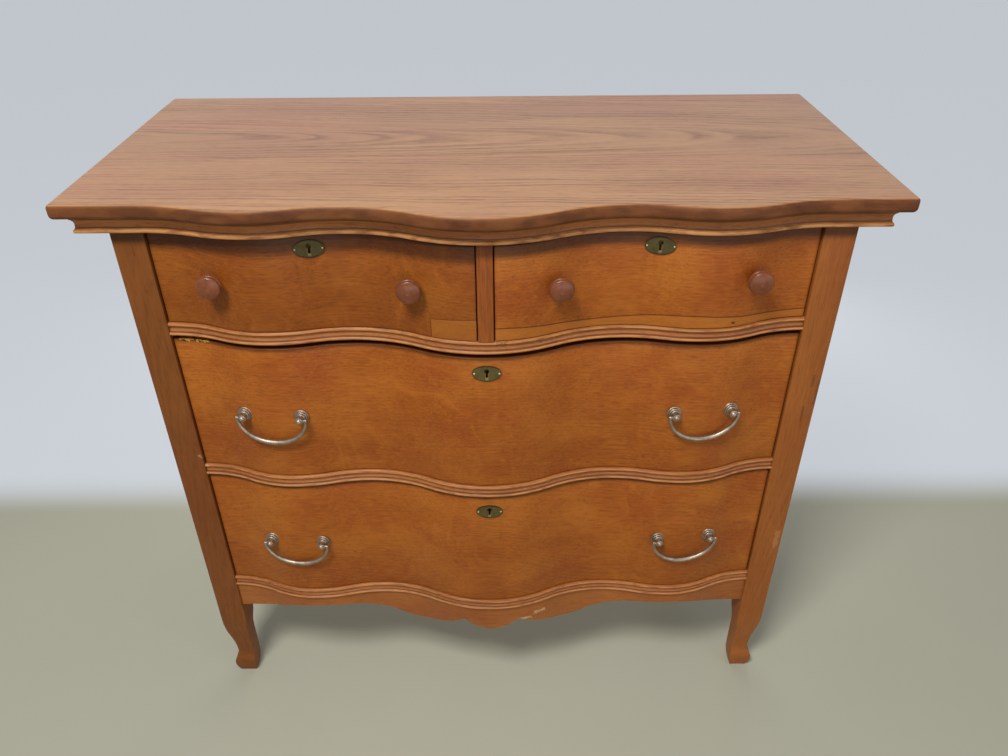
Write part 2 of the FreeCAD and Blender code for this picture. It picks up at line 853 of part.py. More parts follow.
def keyhole(drawer, radius, slot_width, slot_drop, y_from, y_to):
    z = key_rise - drawer.key_drop
    round_part = Part.makeCylinder(radius, y_to - y_from, Vector(0, y_from, z), backward)
    slot = block(-slot_width / 2, slot_width / 2, y_from, y_to, z - slot_drop, z)
    foot = Part.makeCylinder(slot_width / 2, y_to - y_from, Vector(0, y_from, z - slot_drop), backward)
    return drawer.set_lock(round_part.multiFuse([slot, foot]).removeSplitter())


def make_lock_case(drawer):
    case = lock_box(drawer, lock_width / 2, lock_front, lock_back, -lock_height(drawer), 0)
    plate = lock_box(drawer, lock_plate_width / 2, lock_front, lock_back, -lock_plate_thickness, 0)
    slot_half = bolt_thickness / 2 + bolt_clearance
    slot = lock_box(drawer, bolt_width / 2 + bolt_clearance, bolt_y - slot_half, bolt_y + slot_half,
                    -bolt_rest_drop - bolt_length - bolt_clearance, overrun)
    key = keyhole(drawer, key_round, key_slot_width, key_slot_drop, lock_front - overrun, bolt_y)
    return case.fuse(plate).removeSplitter().cut(slot).cut(key)


def make_lock_bolt(drawer):
    return lock_box(drawer, bolt_width / 2, bolt_y - bolt_thickness / 2, bolt_y + bolt_thickness / 2,
                    -bolt_rest_drop - bolt_length, -bolt_rest_drop)


def lock_mortise(drawer):
    pocket = lock_box(drawer, lock_width / 2, lock_front, front_thickness + overrun,
                      -lock_height(drawer), overrun)
    ledge = lock_box(drawer, lock_plate_width / 2, lock_front, front_thickness + overrun,
                     -lock_plate_thickness, overrun)
    return pocket.fuse(ledge)


# The pocket above the drawer that takes the thrown bolt
def bolt_socket(drawer):
    half = bolt_thickness / 2 + bolt_socket_clearance
    return lock_box(drawer, bolt_width / 2 + bolt_socket_clearance, bolt_y - half, bolt_y + half,
                    0, bolt_throw - bolt_rest_drop + bolt_socket_clearance)


# Oval plate over the keyhole, bent to the drawer face and held by two pins
def make_escutcheon(drawer):
    half = escutcheon_width / 2
    z = drawer.front_high - drawer.key_drop
    sheet = bent_board(rail_reach, face_inset - escutcheon_thickness, escutcheon_thickness,
                       drawer.middle_x - half - overrun, drawer.middle_x + half + overrun,
                       z - escutcheon_height, z + escutcheon_height)
    oval = Part.Face(Part.Wire(Part.Ellipse(origin, half, escutcheon_height / 2).toShape()))
    oval.rotate(origin, across, -90)
    oval.translate(Vector(0, -overrun, -drawer.key_drop))
    plate = sheet.common(drawer.set_lock(oval.extrude(backward * (2 * overrun))))
    plate = plate.cut(keyhole(drawer, key_round, key_slot_width, key_slot_drop, -overrun, overrun))
    pins = make_pins(drawer)
    return Part.makeCompound([plate.cut(Part.makeCompound(pins))] + pins)


def make_pins(drawer):
    z = drawer.front_high - drawer.key_drop
    pin = turned((0, -pin_length),
                 [(pin_radius, -pin_length), (pin_radius, 0), (pin_head_radius, 0),
                  domed_end(pin_head_radius, 0, pin_head_height)])
    places = (drawer.middle_x - pin_spacing / 2, drawer.middle_x + pin_spacing / 2)
    return [set_on_line(pin, rail_reach, face_inset - escutcheon_thickness, x, z) for x in places]


# The last step of a turned outline: an arc from the rim of a dome to its top
def domed_end(radius, rim_out, height):
    top = (0, rim_out + height)
    middle, _ = turn_arc(top, (radius, rim_out), lambda *point: point)
    return (middle, top)


# Mushroom knobs of the small drawers
def make_knobs(drawer):
    head = turned(
        (0, -pull_seat_depth),
        [(knob_foot_radius, -pull_seat_depth),
         (knob_foot_radius, knob_foot_height),
         ((knob_neck_radius, knob_waist_height), (knob_foot_radius, knob_under_height)),
         (knob_radius - knob_edge_round, knob_under_height + knob_edge_round),
         ((knob_radius, (knob_under_height + knob_groove_height) / 2),
          (knob_radius - knob_groove_depth, knob_groove_height)),
         ((knob_radius - knob_groove_depth / 4, (knob_groove_height + knob_dome_height) / 2),
          (knob_radius - knob_edge_round, knob_dome_height)),
         domed_end(knob_radius - knob_edge_round, knob_dome_height, knob_projection - knob_dome_height)])
    dowel = Part.makeCylinder(knob_dowel_radius, knob_dowel_length, origin, backward)
    face_line = serpentine(rail_reach, face_inset)
    knobs = []
    middle_x = drawer.middle_x + math.copysign(knob_shift, drawer.middle_x)
    for x in (middle_x - knob_spacing / 2, middle_x + knob_spacing / 2):
        place = Vector(x, stretch_at(face_line, x).y(x), drawer.middle_z + knob_rise)
        knobs.append(seated(head.translated(place), dowel.translated(place), drawer))
    return Part.makeCompound(knobs)


# A foot is shaped to the curved drawer face, and its peg goes on into the wood
def seated(piece, peg, drawer):
    return piece.cut(drawer.front_blank()).fuse(peg).removeSplitter()


# Bail pulls of the wide drawers. Each is drawn about the middle of its two posts, and turned so
# that both posts stand on the curved face.

class Pull:
    def __init__(self, drawer, x):
        face_line = serpentine(rail_reach, face_inset)
        ends = [x - pull_boring / 2, x + pull_boring / 2]
        left_y, right_y = [stretch_at(face_line, end).y(end) for end in ends]
        self.drawer = drawer
        self.x = x
        self.y = (left_y + right_y) / 2
        self.angle = math.degrees(math.atan2(right_y - left_y, pull_boring))
        self.half = math.hypot(pull_boring, right_y - left_y) / 2

    def place(self, shape):
        placed = shape.copy()
        placed.rotate(origin, upward, self.angle)
        placed.translate(Vector(self.x, self.y, self.drawer.middle_z - pull_drop))
        return placed


# The rings of a pull's foot, each a rounded step above the one before it
def pull_steps():
    steps = [(pull_ring_radii[0] - pull_ring_groove, -pull_seat_depth)]
    out = 0
    for radius in pull_ring_radii:
        steps.append((radius - pull_ring_groove, out))
        steps.append(((radius, out + pull_ring_height / 2),
                      (radius - pull_ring_groove, out + pull_ring_height)))
        out += pull_ring_height
    return steps + [(pull_head_radius, out)]


def pull_post(pull, side):
    ball_middle = pull_projection - pull_ball_radius
    neck_radius = math.sqrt(pull_ball_radius ** 2 - (ball_middle - pull_neck_height) ** 2)
    slant = pull_ball_radius * math.sqrt(0.5)
    head = turned(
        (0, -pull_seat_depth),
        pull_steps()
        + [(pull_head_radius, pull_head_top),
           (neck_radius, pull_neck_height),
           ((slant, ball_middle + slant), (0, pull_projection))])
    hole_start = pull_head_radius - bail_hole_depth
    hole = Part.makeCylinder(bail_pin_radius + bail_pin_clearance, bail_hole_depth + overrun,
                             Vector(side * hole_start, -bail_axis_reach, 0), across * side)
    nut_face = front_thickness + pull_nut_thickness
    shank = Part.makeCylinder(pull_shank_radius, nut_face + pull_shank_proud, origin, backward)
    half_nut = pull_nut_across / 2
    nut = block(-half_nut, half_nut, front_thickness - pull_seat_depth, nut_face, -half_nut, half_nut)
    stand = across * (side * pull.half)
    front = pull.drawer.front_blank()
    post = seated(pull.place(head.cut(hole).translated(stand)), pull.place(shank.translated(stand)),
                  pull.drawer)
    nut = pull.place(nut.cut(shank).translated(stand)).cut(front)
    return [post, nut]


def make_pull_posts(pulls):
    pieces = []
    for pull in pulls:
        pieces += pull_post(pull, -1) + pull_post(pull, 1)
    return Part.makeCompound(pieces)


# The loop hangs as half an oval that thickens to the grip; its ends turn inwards as pins
def make_bail(pull):
    reach = pull.half + pull_head_radius + bail_end_gap + bail_knuckle_radius
    rings = []
    for step in range(bail_stations + 1):
        turn = math.pi * step / bail_stations
        fullness = math.sin(turn) ** 2
        radius = bail_arm_radius + (bail_grip_radius - bail_arm_radius) * fullness
        ring = Part.Wire(Part.Circle(origin, upward, radius).toShape())
        lean = math.atan2(reach * math.sin(turn), bail_drop * math.cos(turn))
        ring.rotate(origin, backward, math.degrees(lean))
        ring.translate(Vector(reach * math.cos(turn), -bail_axis_reach, -bail_drop * math.sin(turn)))
        rings.append(ring)
    bail = Part.makeLoft(rings, True, False)
    pin_length_in_post = bail_hole_depth - bail_end_gap
    pin_start = pull.half + pull_head_radius - pin_length_in_post
    for side in (-1, 1):
        end = Vector(side * reach, -bail_axis_reach, 0)
        pin = Part.makeCylinder(bail_pin_radius, reach - pin_start,
                                Vector(side * pin_start, -bail_axis_reach, 0), across * side)
        bail = bail.multiFuse([Part.makeSphere(bail_knuckle_radius, end), pin])
    return pull.place(bail.removeSplitter())


def make_front(drawer, fittings):
    front = drawer.front_blank().cut(make_sides(drawer)).cut(make_bottom(drawer)).cut(lock_mortise(drawer))
    key = keyhole(drawer, key_round_in_wood, key_slot_width + 2 * key_wood_margin, key_wood_drop,
                  -overrun, lock_front + overrun)
    front = front.cut(key)
    for fitting in fittings + make_pins(drawer):
        front = front.cut(fitting)
    return front


# The whole dresser, as one shape for each named piece

upper_left = Drawer("upper_left", -post_inner, -stile_width / 2, upper_drawer_z, upper_opening,
                    narrow_top_gap, upper_key_drop)
upper_right = Drawer("upper_right", stile_width / 2, post_inner, upper_drawer_z, upper_opening,
                     narrow_top_gap, upper_key_drop)
middle = Drawer("middle", -post_inner, post_inner, middle_drawer_z, middle_opening,
                middle_top_gap, middle_key_drop)
lower = Drawer("lower", -post_inner, post_inner, lower_drawer_z, lower_opening,
               narrow_top_gap, lower_key_drop)


def case_nodes():
    right_parts = {
        "moulding": make_right_moulding(),
        "side_panel": make_right_panel(),
        "side_rails": make_right_side_rails(),
        "runners": make_right_runners(),
    }
    nodes = {
        "top_board": make_top_board(),
        "front_moulding": make_front_moulding().cut(bolt_socket(upper_left)).cut(bolt_socket(upper_right)),
        "front_right_post": make_right_front_post(),
        "rear_right_post": make_right_rear_post(),
        "back_boards": Part.makeCompound(make_back_boards()),
        "rear_rails": make_rear_rails(),
        "upper_rail": make_front_rail(upper_rail_reach, upper_rail_z).cut(bolt_socket(middle)),
        "middle_rail": make_front_rail(rail_reach, middle_rail_z).cut(bolt_socket(lower)),
        "lower_rail": make_front_rail(rail_reach, lower_rail_z),
        "apron": make_apron(),
        "centre_stile": make_stile(),
        "centre_runner": make_centre_runner(),
        "kickers": make_kickers(),
        "glue_blocks": make_glue_blocks(),
    }
    nodes["front_left_post"] = mirrored(nodes["front_right_post"])
    nodes["rear_left_post"] = mirrored(nodes["rear_right_post"])
    for name, shape in right_parts.items():
        nodes["right_" + name] = shape
        nodes["left_" + name] = mirrored(shape)
    return nodes


def drawer_nodes(drawer):
    prefix = drawer.name + "_drawer_"
    nodes = {
        prefix + "sides": make_sides(drawer),
        prefix + "back": make_back(drawer),
        prefix + "bottom": make_bottom(drawer),
        prefix + "lock_case": make_lock_case(drawer),
        prefix + "lock_bolt": make_lock_bolt(drawer),
        prefix + "escutcheon": make_escutcheon(drawer),
    }
    if drawer in (upper_left, upper_right):
        nodes[prefix + "knobs"] = make_knobs(drawer)
        fittings = [nodes[prefix + "knobs"]]
    else:
        pulls = [Pull(drawer, -pull_spacing / 2), Pull(drawer, pull_spacing / 2)]
        nodes[prefix + "pull_posts"] = make_pull_posts(pulls)
        nodes[prefix + "left_bail"] = make_bail(pulls[0])
        nodes[prefix + "right_bail"] = make_bail(pulls[1])
        fittings = [nodes[prefix + "pull_posts"]]
    nodes[prefix + "front"] = make_front(drawer, fittings)
    return nodes


os.makedirs("parts", exist_ok=True)
dresser = case_nodes()
for drawer in (upper_left, upper_right, middle, lower):
    dresser.update(drawer_nodes(drawer))
for name, shape in dresser.items():
    shape.exportStep("parts/" + name + ".step")
    print(name, len(shape.Solids), "solids", round(shape.Volume), "cubic mm")
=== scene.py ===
import math

import bmesh
import bpy
from mathutils import Matrix, Vector


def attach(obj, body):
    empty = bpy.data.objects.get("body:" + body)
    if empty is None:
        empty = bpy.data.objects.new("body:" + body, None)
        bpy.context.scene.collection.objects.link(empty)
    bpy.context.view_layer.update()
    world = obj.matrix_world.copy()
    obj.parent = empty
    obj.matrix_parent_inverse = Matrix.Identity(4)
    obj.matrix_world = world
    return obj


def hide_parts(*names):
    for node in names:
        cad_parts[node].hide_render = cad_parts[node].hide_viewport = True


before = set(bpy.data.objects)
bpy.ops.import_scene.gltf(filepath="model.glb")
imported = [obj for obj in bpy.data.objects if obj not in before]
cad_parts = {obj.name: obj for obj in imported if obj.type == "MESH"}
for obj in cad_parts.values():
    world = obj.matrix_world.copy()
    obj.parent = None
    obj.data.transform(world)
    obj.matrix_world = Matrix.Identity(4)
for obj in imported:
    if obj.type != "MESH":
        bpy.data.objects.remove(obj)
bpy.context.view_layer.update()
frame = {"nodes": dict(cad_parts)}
nodes = frame["nodes"]
scene = bpy.context.scene
scene.view_settings.view_transform = "Standard"
print("loaded", len(nodes), "parts")


# Shader maths: a wire is one output of a node, and sums on wires add Math nodes

class Wire:
    def __init__(self, graph, socket):
        self.graph = graph
        self.socket = socket

    def calc(self, operation, *others):
        return self.graph.math(operation, self, *others)

    def __add__(self, other):
        return self.calc("ADD", other)

    def __sub__(self, other):
        return self.calc("SUBTRACT", other)

    def __rsub__(self, other):
        return self.graph.math("SUBTRACT", other, self)

    def __mul__(self, other):
        return self.calc("MULTIPLY", other)

    def __truediv__(self, other):
        return self.calc("DIVIDE", other)

    __radd__ = __add__
    __rmul__ = __mul__

    # 0 below the first value, 1 above the second, and smooth between them
    def rise(self, low, high):
        sockets = {"Value": self, "From Min": low, "From Max": high}
        return self.graph.add("ShaderNodeMapRange", {"interpolation_type": "SMOOTHSTEP"}, sockets)

    # 1 near a value, as far as the core reaches, and 0 from the fade on
    def near(self, value, core, fade):
        return 1 - self.calc("SUBTRACT", value).calc("ABSOLUTE").rise(core, fade)


class Graph:
    def __init__(self, name):
        self.material = bpy.data.materials.new(name)
        self.material.use_nodes = True
        self.tree = self.material.node_tree
        self.tree.nodes.clear()
        self.place = self.add("ShaderNodeTexCoord", output="Object")

    def add(self, kind, settings=None, sockets=None, output=0):
        node = self.tree.nodes.new(kind)
        for name, value in (settings or {}).items():
            setattr(node, name, value)
        for key, value in (sockets or {}).items():
            if isinstance(value, Wire):
                self.tree.links.new(value.socket, node.inputs[key])
            else:
                node.inputs[key].default_value = value
        return None if output is None else Wire(self, node.outputs[output])

    def math(self, operation, *values):
        return self.add("ShaderNodeMath", {"operation": operation}, dict(enumerate(values)))

    def split(self, vector):
        return [self.add("ShaderNodeSeparateXYZ", {}, {0: vector}, output) for output in range(3)]

    def join(self, x, y, z):
        return self.add("ShaderNodeCombineXYZ", {}, {0: x, 1: y, 2: z})

    def noise(self, vector, factors, detail=2.0, rough=0.5):
        place = self.add("ShaderNodeVectorMath", {"operation": "MULTIPLY"}, {0: vector, 1: factors})
        sockets = {"Vector": place, "Scale": 1.0, "Detail": detail, "Roughness": rough}
        return self.add("ShaderNodeTexNoise", {}, sockets)

    def mix(self, factor, first, second):
        return self.add("ShaderNodeMix", {"data_type": "RGBA"}, {0: factor, 6: first, 7: second}, 2)

    def shade(self, color, factor):
        return self.add("ShaderNodeMix", {"data_type": "RGBA", "blend_type": "MULTIPLY"},
                        {0: 1.0, 6: color, 7: self.join(factor, factor, factor)}, 2)

    def bump(self, height, depth, strength):
        return self.add("ShaderNodeBump", {}, {"Height": height, "Distance": depth, "Strength": strength})

    # 1 where a ray from the camera or a reflection lands
    def seen(self):
        rays = [self.add("ShaderNodeLightPath", output=kind) for kind in ("Is Camera Ray", "Is Glossy Ray")]
        return rays[0].calc("MAXIMUM", rays[1])

    def finish(self, sockets):
        shader = self.add("ShaderNodeBsdfPrincipled", {}, sockets)
        self.add("ShaderNodeOutputMaterial", {}, {"Surface": shader}, None)
        return self.material


# A colour from a paint chart, red, green and blue up to 255, as the linear light that a shader takes
def paint(*levels):
    shares = [level / 255 for level in levels]
    return tuple(s / 12.92 if s <= 0.04045 else ((s + 0.055) / 1.055) ** 2.4 for s in shares) + (1.0,)


def dress(names, material):
    for name in names:
        slots = nodes[name].data.materials
        slots.clear()
        slots.append(material)


# Oak, as a board cut from a log: growth rings, pores in their dark part, fibres and slow clouds
# Scales are repeats per metre along the grain, across it and down, and levels are where a noise starts
# and ends its rise

oak = {
    "along": "X",                  # the axis that the grain follows
    "shift": (0, 0, 0),            # moves one piece's grain away from the next one's
    "tone": 1.0,
    "pale": paint(166, 98, 40),
    "mid": paint(144, 80, 30),
    "rust": paint(136, 68, 27),
    "deep": paint(104, 53, 20),
    "pore": paint(72, 36, 15),
    "pithSide": 0.02,              # where the log's pith lies from the board, and how it slants
    "pithDepth": 0.07,
    "pithTilt": 0.05,
    "pithSlant": 0.02,
    "wanderScale": (1.6, 5, 5),    # how the pith wanders to the side, and its share of that in depth
    "wander": 0.008,
    "wanderDepth": 0.6,
    "rippleScale": (14, 60, 60),
    "ripple": 0.12,                # share of the wander that the ripples add
    "ringWidth": 0.0042,
    "ringPeak": 0.2,               # shares of a ring's width at which it is darkest and pale again
    "ringEnd": 0.85,
    "ringShare": 0.4,
    "spreadScale": (60, 1, 1),
    "spreadRun": 0.04,
    "spread": 2.6,                 # how uneven the widths of the rings are
    "patchScale": (4, 34, 34),
    "patchLevels": (0.34, 0.62),
    "patchShare": 0.75,
    "featherScale": (38, 620, 620),
    "featherLevels": (0.38, 0.6),
    "feather": 0.4,                # how far the rings break up into strokes
    "poreScale": (70, 1500, 1500),
    "poreLevels": (0.56, 0.7),
    "poreShare": 0.6,
    "poreInRing": 0.75,            # share of the pores that keep to the rings
    "fibreScale": (9, 480, 480),
    "fibreLevels": (0.48, 0.8),
    "fibreShare": 0.25,
    "streakScale": (16, 210, 210),
    "streakDark": (0.5, 0.74),
    "streakPale": (0.3, 0.48),
    "streakShare": 0.3,
    "dashScale": (48, 400, 400),
    "dashDark": (0.52, 0.72),
    "dashPale": (0.28, 0.46),
    "dashShare": 0.2,
    "dashRipple": 2,
    "cloudScale": (5, 9, 9),
    "cloudLevels": (0.34, 0.66),
    "cloudShare": 0.8,
    "rustShift": (3.7, 1.9),       # keeps the rusty clouds off the pale ones
    "rustLevels": (0.45, 0.7),
    "rustShare": 0.5,
    "fleckScale": (70, 18, 18),
    "fleckLevels": (0.54, 0.7),
    "fleckShare": 0.12,
    "gloss": 0.4,                  # roughness, and what rings, pores and clouds add to it
    "glossSteps": (0.05, 0.12, 0.03),
    "sheen": 0.3,                  # level of the plain reflection
    "coat": 0.08,
    "coatRough": 0.2,
    "relief": 0.00025,             # its depth and share, and what fibres, pores and rings give to it
    "reliefShare": 0.6,
    "reliefSteps": (0.15, 0.6, 0.12),
}
# For each run of the grain, the axes along it, across the board and down into it
turns = {"X": (0, 1, 2), "Y": (1, 0, 2), "Z": (2, 0, 1)}


def drawOak(graph, look):
    axes = graph.split(graph.place)
    along, side, depth = [axes[place] + shift for place, shift in zip(turns[look["along"]], look["shift"])]
    board = graph.join(along, side, depth)
    drift = (graph.noise(board, look["wanderScale"], 2.0) - 0.5) * look["wander"]
    ripple = (graph.noise(board, look["rippleScale"], 2.0) - 0.5) * (look["wander"] * look["ripple"])
    away = side - look["pithSide"] + drift + ripple + along * look["pithSlant"]
    below = depth + look["pithDepth"] + along * look["pithTilt"] + drift * look["wanderDepth"]
    radius = (away * away + below * below).calc("SQRT")
    spread = graph.noise(graph.join(radius, 0, along * look["spreadRun"]), look["spreadScale"], 2.0)
    turn = (radius / look["ringWidth"] + spread * look["spread"]).calc("FRACT")
    patchy = graph.noise(board, look["patchScale"], 2.0).rise(*look["patchLevels"])
    rippled = graph.join(along, side + ripple, depth)
    feather = graph.noise(rippled, look["featherScale"], 2.0).rise(*look["featherLevels"])
    ring = turn.rise(0.0, look["ringPeak"]) * (1 - turn.rise(look["ringPeak"], look["ringEnd"]))
    ring = ring * (1 - look["patchShare"] + patchy * look["patchShare"])
    ring = ring * (1 - look["feather"] + feather * look["feather"])
    pores = graph.noise(board, look["poreScale"], 1.0).rise(*look["poreLevels"])
    pores = pores * (1 - look["poreInRing"] + ring * look["poreInRing"])
    fibres = graph.noise(board, look["fibreScale"], 3.0, 0.6)
    streaks = graph.noise(rippled, look["streakScale"], 3.0, 0.55)
    strokes = graph.noise(graph.join(along, side + ripple * look["dashRipple"], depth), look["dashScale"])
    cloud = graph.noise(board, look["cloudScale"], 3.0).rise(*look["cloudLevels"])
    further, deeper = look["rustShift"]
    elsewhere = graph.join(along + further, side, depth + deeper)
    warm = graph.noise(elsewhere, look["cloudScale"], 2.0).rise(*look["rustLevels"])
    fleck = graph.noise(board, look["fleckScale"], 2.0).rise(*look["fleckLevels"])
    color = graph.mix(cloud * look["cloudShare"], look["mid"], look["pale"])
    color = graph.mix(warm * look["rustShare"], color, look["rust"])
    color = graph.mix(fleck * look["fleckShare"], color, look["pale"])
    color = graph.mix(streaks.rise(*look["streakDark"]) * look["streakShare"], color, look["deep"])
    color = graph.mix((1 - streaks.rise(*look["streakPale"])) * look["streakShare"], color, look["pale"])
    color = graph.mix(strokes.rise(*look["dashDark"]) * look["dashShare"], color, look["deep"])
    color = graph.mix((1 - strokes.rise(*look["dashPale"])) * look["dashShare"], color, look["pale"])
    color = graph.mix(ring * look["ringShare"], color, look["deep"])
    color = graph.mix(fibres.rise(*look["fibreLevels"]) * look["fibreShare"], color, look["deep"])
    color = graph.mix(pores * look["poreShare"], color, look["pore"])
    color = graph.shade(color, look["tone"])
    byFibre, byPore, byRing = look["reliefSteps"]
    height = fibres * byFibre - pores * byPore - ring * byRing
    ringRough, poreRough, cloudRough = look["glossSteps"]
    rough = look["gloss"] + ring * ringRough + pores * poreRough + cloud * cloudRough
    return {"graph": graph, "color": color, "height": height, "rough": rough,
            "x": axes[0], "y": axes[1], "z": axes[2], "board": board, "look": look}


def closeOak(drawn):
    graph, look = drawn["graph"], drawn["look"]
    return graph.finish({
        "Base Color": drawn["color"], "Roughness": drawn["rough"], "Specular IOR Level": look["sheen"],
        "Coat Weight": look["coat"], "Coat Roughness": look["coatRough"],
        "Normal": graph.bump(drawn["height"], look["relief"], look["reliefShare"])})


# Old wear: marks and dirt, and a painted shade band under the moulding, with boxes and heights in metres

wear = {
    "faceDepth": 0.165,            # marks lie on what is further forward than this
    "faceFade": 0.002,
    "markFade": 0.0018,
    "markMiddle": 0.55,            # level of the noise at which a mark keeps its box
    "waveScale": (30, 30, 30),
    "wave": 0.004,
    # painted shade band under the moulding
    "shadeBand": (0.874, 0.013),     # under the moulding: the dark band's top and its depth
}
smudge = paint(70, 42, 24)
scuff = paint(206, 168, 124)


# How far a place lies inside a box on the front, less than zero outside it
def insideBox(x, z, box):
    left, right, low, high = box
    return (x - left).calc("MINIMUM", right - x).calc("MINIMUM", z - low).calc("MINIMUM", high - z)


# Ragged mark inside a box on the front of a piece, with the scale of its tears and how far they reach
def addMark(drawn, box, color, share, spot=260, tear=0.016):
    graph, x, z = drawn["graph"], drawn["x"], drawn["z"]
    ragged = (graph.noise(graph.join(x, 0, z), (spot, 1, spot), 3.0, 0.6) - wear["markMiddle"]) * tear
    inside = insideBox(x, z, box)
    ahead = 1 - (drawn["y"] + wear["faceDepth"]).rise(0.0, wear["faceFade"])
    mark = (inside + ragged).rise(0.0, wear["markFade"]) * ahead * share
    drawn["color"] = graph.mix(mark, drawn["color"], color)


# Painted shade: darker up to a height, where the moulding or a rail above would cast its shadow
def addPaintedShade(drawn, high, depth, share=0.56):
    wave = drawn["graph"].noise(drawn["graph"].place, wear["waveScale"], 2.0) * wear["wave"]
    shade = 1 - (drawn["z"] + wave).rise(high - depth, high) * share
    drawn["color"] = drawn["graph"].shade(drawn["color"], shade)


def makeMarkedOak(name, changes, marks=()):
    drawn = drawOak(Graph(name), {**oak, **changes})
    # painted shade band under the moulding
    addPaintedShade(drawn, *wear["shadeBand"])
    for mark in marks:
        addMark(drawn, *mark)
    return closeOak(drawn)


# Top board

topLook = {
    "pale": paint(184, 134, 88),
    "mid": paint(168, 117, 73),
    "rust": paint(168, 106, 74),
    "deep": paint(112, 68, 42),
    "pore": paint(92, 55, 34),
    # the dark edge colours: painted shade on the rounded edge
    "edge": paint(76, 36, 13),
    "edgePale": paint(104, 57, 26),
    "ringWidth": 0.009,
    "pithDepth": -0.862,
    "pithTilt": 0.075,
    "pithSide": 0.04,
    "wander": 0.034,
    "wanderScale": (3, 6, 6),
    "ringShare": 0.72,
    "feather": 0.62,
    "poreShare": 0.5,
    "sheen": 0.4,
    "streakScale": (9, 150, 150),
    "streakShare": 0.26,
    "dashScale": (60, 520, 520),
    "dashShare": 0.3,
    "cloudScale": (3, 9, 9),
    "rustShare": 0.6,
    "fleckShare": 0.04,
    "gloss": 0.36,
    "coat": 0.3,
    "coatRough": 0.25,
    "boardWidth": 0.135,
    "boardStart": 0.37,
    "boardShift": (1.31, 0.021),   # how far the next board's grain lies along and across the log
    "darkest": 0.97,               # tone of the darkest board, how much lighter others are, and their order
    "lighter": 0.06,
    "toneStep": 0.37,
    "facing": (0.6, 0.98),
    "edgeCloud": (24, 60, 60),
    "edgeLevels": (0.35, 0.65),
    "edgeShare": 0.9,
    "edgeRough": 0.16,
}
topShape = {
    "low": 0.907,
    "high": 0.9265,
    "outline": 0.9135,             # a height at which the CAD board has its full outline
    "match": 0.00002,              # heights closer than this are the same
    "back": 0.265,                 # the rounds stop at the board's back
    "upperRound": 0.005,
    "lowerRound": 0.0065,
    "segments": 7,
    "flatArea": 0.01,              # a larger face keeps a crease round it
    "crease": math.radians(32),
    "up": 0.9,                     # a face that looks up more than this is the top's own
}


# Boards side by side, each with its own part of the log, and a dark edge: painted shade on the faces that
# look less up
def makeTopOak(name, changes):
    graph = Graph(name)
    row = (graph.split(graph.place)[1] / topLook["boardWidth"] + topLook["boardStart"]).calc("FLOOR")
    shift = [row * step for step in topLook["boardShift"]]
    graph.place = graph.add("ShaderNodeVectorMath", {"operation": "ADD"},
                            {0: graph.place, 1: graph.join(*shift, 0)})
    drawn = drawOak(graph, {**oak, **topLook, **changes})
    tone = topLook["darkest"] + (row * topLook["toneStep"]).calc("FRACT") * topLook["lighter"]
    color = graph.shade(drawn["color"], tone)
    # Faces that look less up take the dark edge colour: painted shade
    facing = graph.split(graph.add("ShaderNodeNewGeometry", output="Normal"))[2].rise(*topLook["facing"])
    cloud = graph.noise(drawn["board"], topLook["edgeCloud"], 3.0).rise(*topLook["edgeLevels"])
    edge = graph.mix(topLook["edgeShare"], color, graph.mix(cloud, topLook["edge"], topLook["edgePale"]))
    drawn["color"] = graph.mix(facing, edge, color)
    drawn["rough"] = drawn["rough"] + (1 - facing) * topLook["edgeRough"]
    return closeOak(drawn)


# The top board anew, with clean rounds: the outline is the CAD board's own, sorted from left to right
def makeTop():
    low, high = topShape["low"], topShape["high"]
    rim = {(round(v.co.x, 6), round(v.co.y, 6)) for v in nodes["top_board"].data.vertices
           if abs(v.co.z - topShape["outline"]) < topShape["match"]}
    corners = sorted(rim, key=lambda place: (place[0], place[1] * math.copysign(1, place[0])))
    mesh = bmesh.new()
    underside = mesh.faces.new([mesh.verts.new((x, y, low)) for x, y in corners])
    raised = bmesh.ops.extrude_face_region(mesh, geom=[underside])["geom"]
    bmesh.ops.translate(mesh, verts=[part for part in raised if isinstance(part, bmesh.types.BMVert)],
                        vec=(0, 0, high - low))
    for level, width in ((high, topShape["upperRound"]), (low, topShape["lowerRound"])):
        edges = [edge for edge in mesh.edges
                 if all(abs(end.co.z - level) < topShape["match"] for end in edge.verts)
                 and min(end.co.y for end in edge.verts) < topShape["back"]]
        bmesh.ops.bevel(mesh, geom=edges, offset=width, offset_type="OFFSET", affect="EDGES",
                        segments=topShape["segments"], profile=0.5, material=-1)
    bmesh.ops.recalc_face_normals(mesh, faces=mesh.faces[:])
    for face in mesh.faces:
        face.smooth = True
        face.material_index = 0 if face.normal.z > topShape["up"] else 1
    for edge in mesh.edges:
        flat = max(face.calc_area() for face in edge.link_faces) > topShape["flatArea"]
        edge.smooth = edge.calc_face_angle() < topShape["crease"] and not flat
    data = bpy.data.meshes.new("top")
    mesh.to_mesh(data)
    mesh.free()
    data.materials.append(makeTopOak("topOak", {}))
    data.materials.append(makeTopOak("topEdgeOak", {"sheen": 0.15, "coat": 0.05}))
    top = bpy.data.objects.new("top", data)
    scene.collection.objects.link(top)
    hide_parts("top_board")
    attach(top, "case")
    print("top board is up")


# Rails and moulding, darker in the quirks with dirt and painted shade, and pale on the beads with wear and
# a painted highlight

railLook = {
    "pale": paint(172, 106, 53),
    "mid": paint(151, 89, 43),
    "rust": paint(143, 80, 40),
    "deep": paint(98, 52, 23),
    "ringWidth": 0.003,
    "ringShare": 0.25,
    "dashShare": 0.35,
    "sheen": 0.22,
    # dirt and painted shade in the quirks, and wear and a painted highlight on the beads
    "dirt": paint(62, 30, 13),
    "dirtShares": (0.35, 0.6),     # everywhere in a quirk, and where the wear is least
    "rubbed": paint(204, 142, 84),
    "rubbedFrom": (0.28, 0.62),
    "wornScale": (30, 200, 200),
}
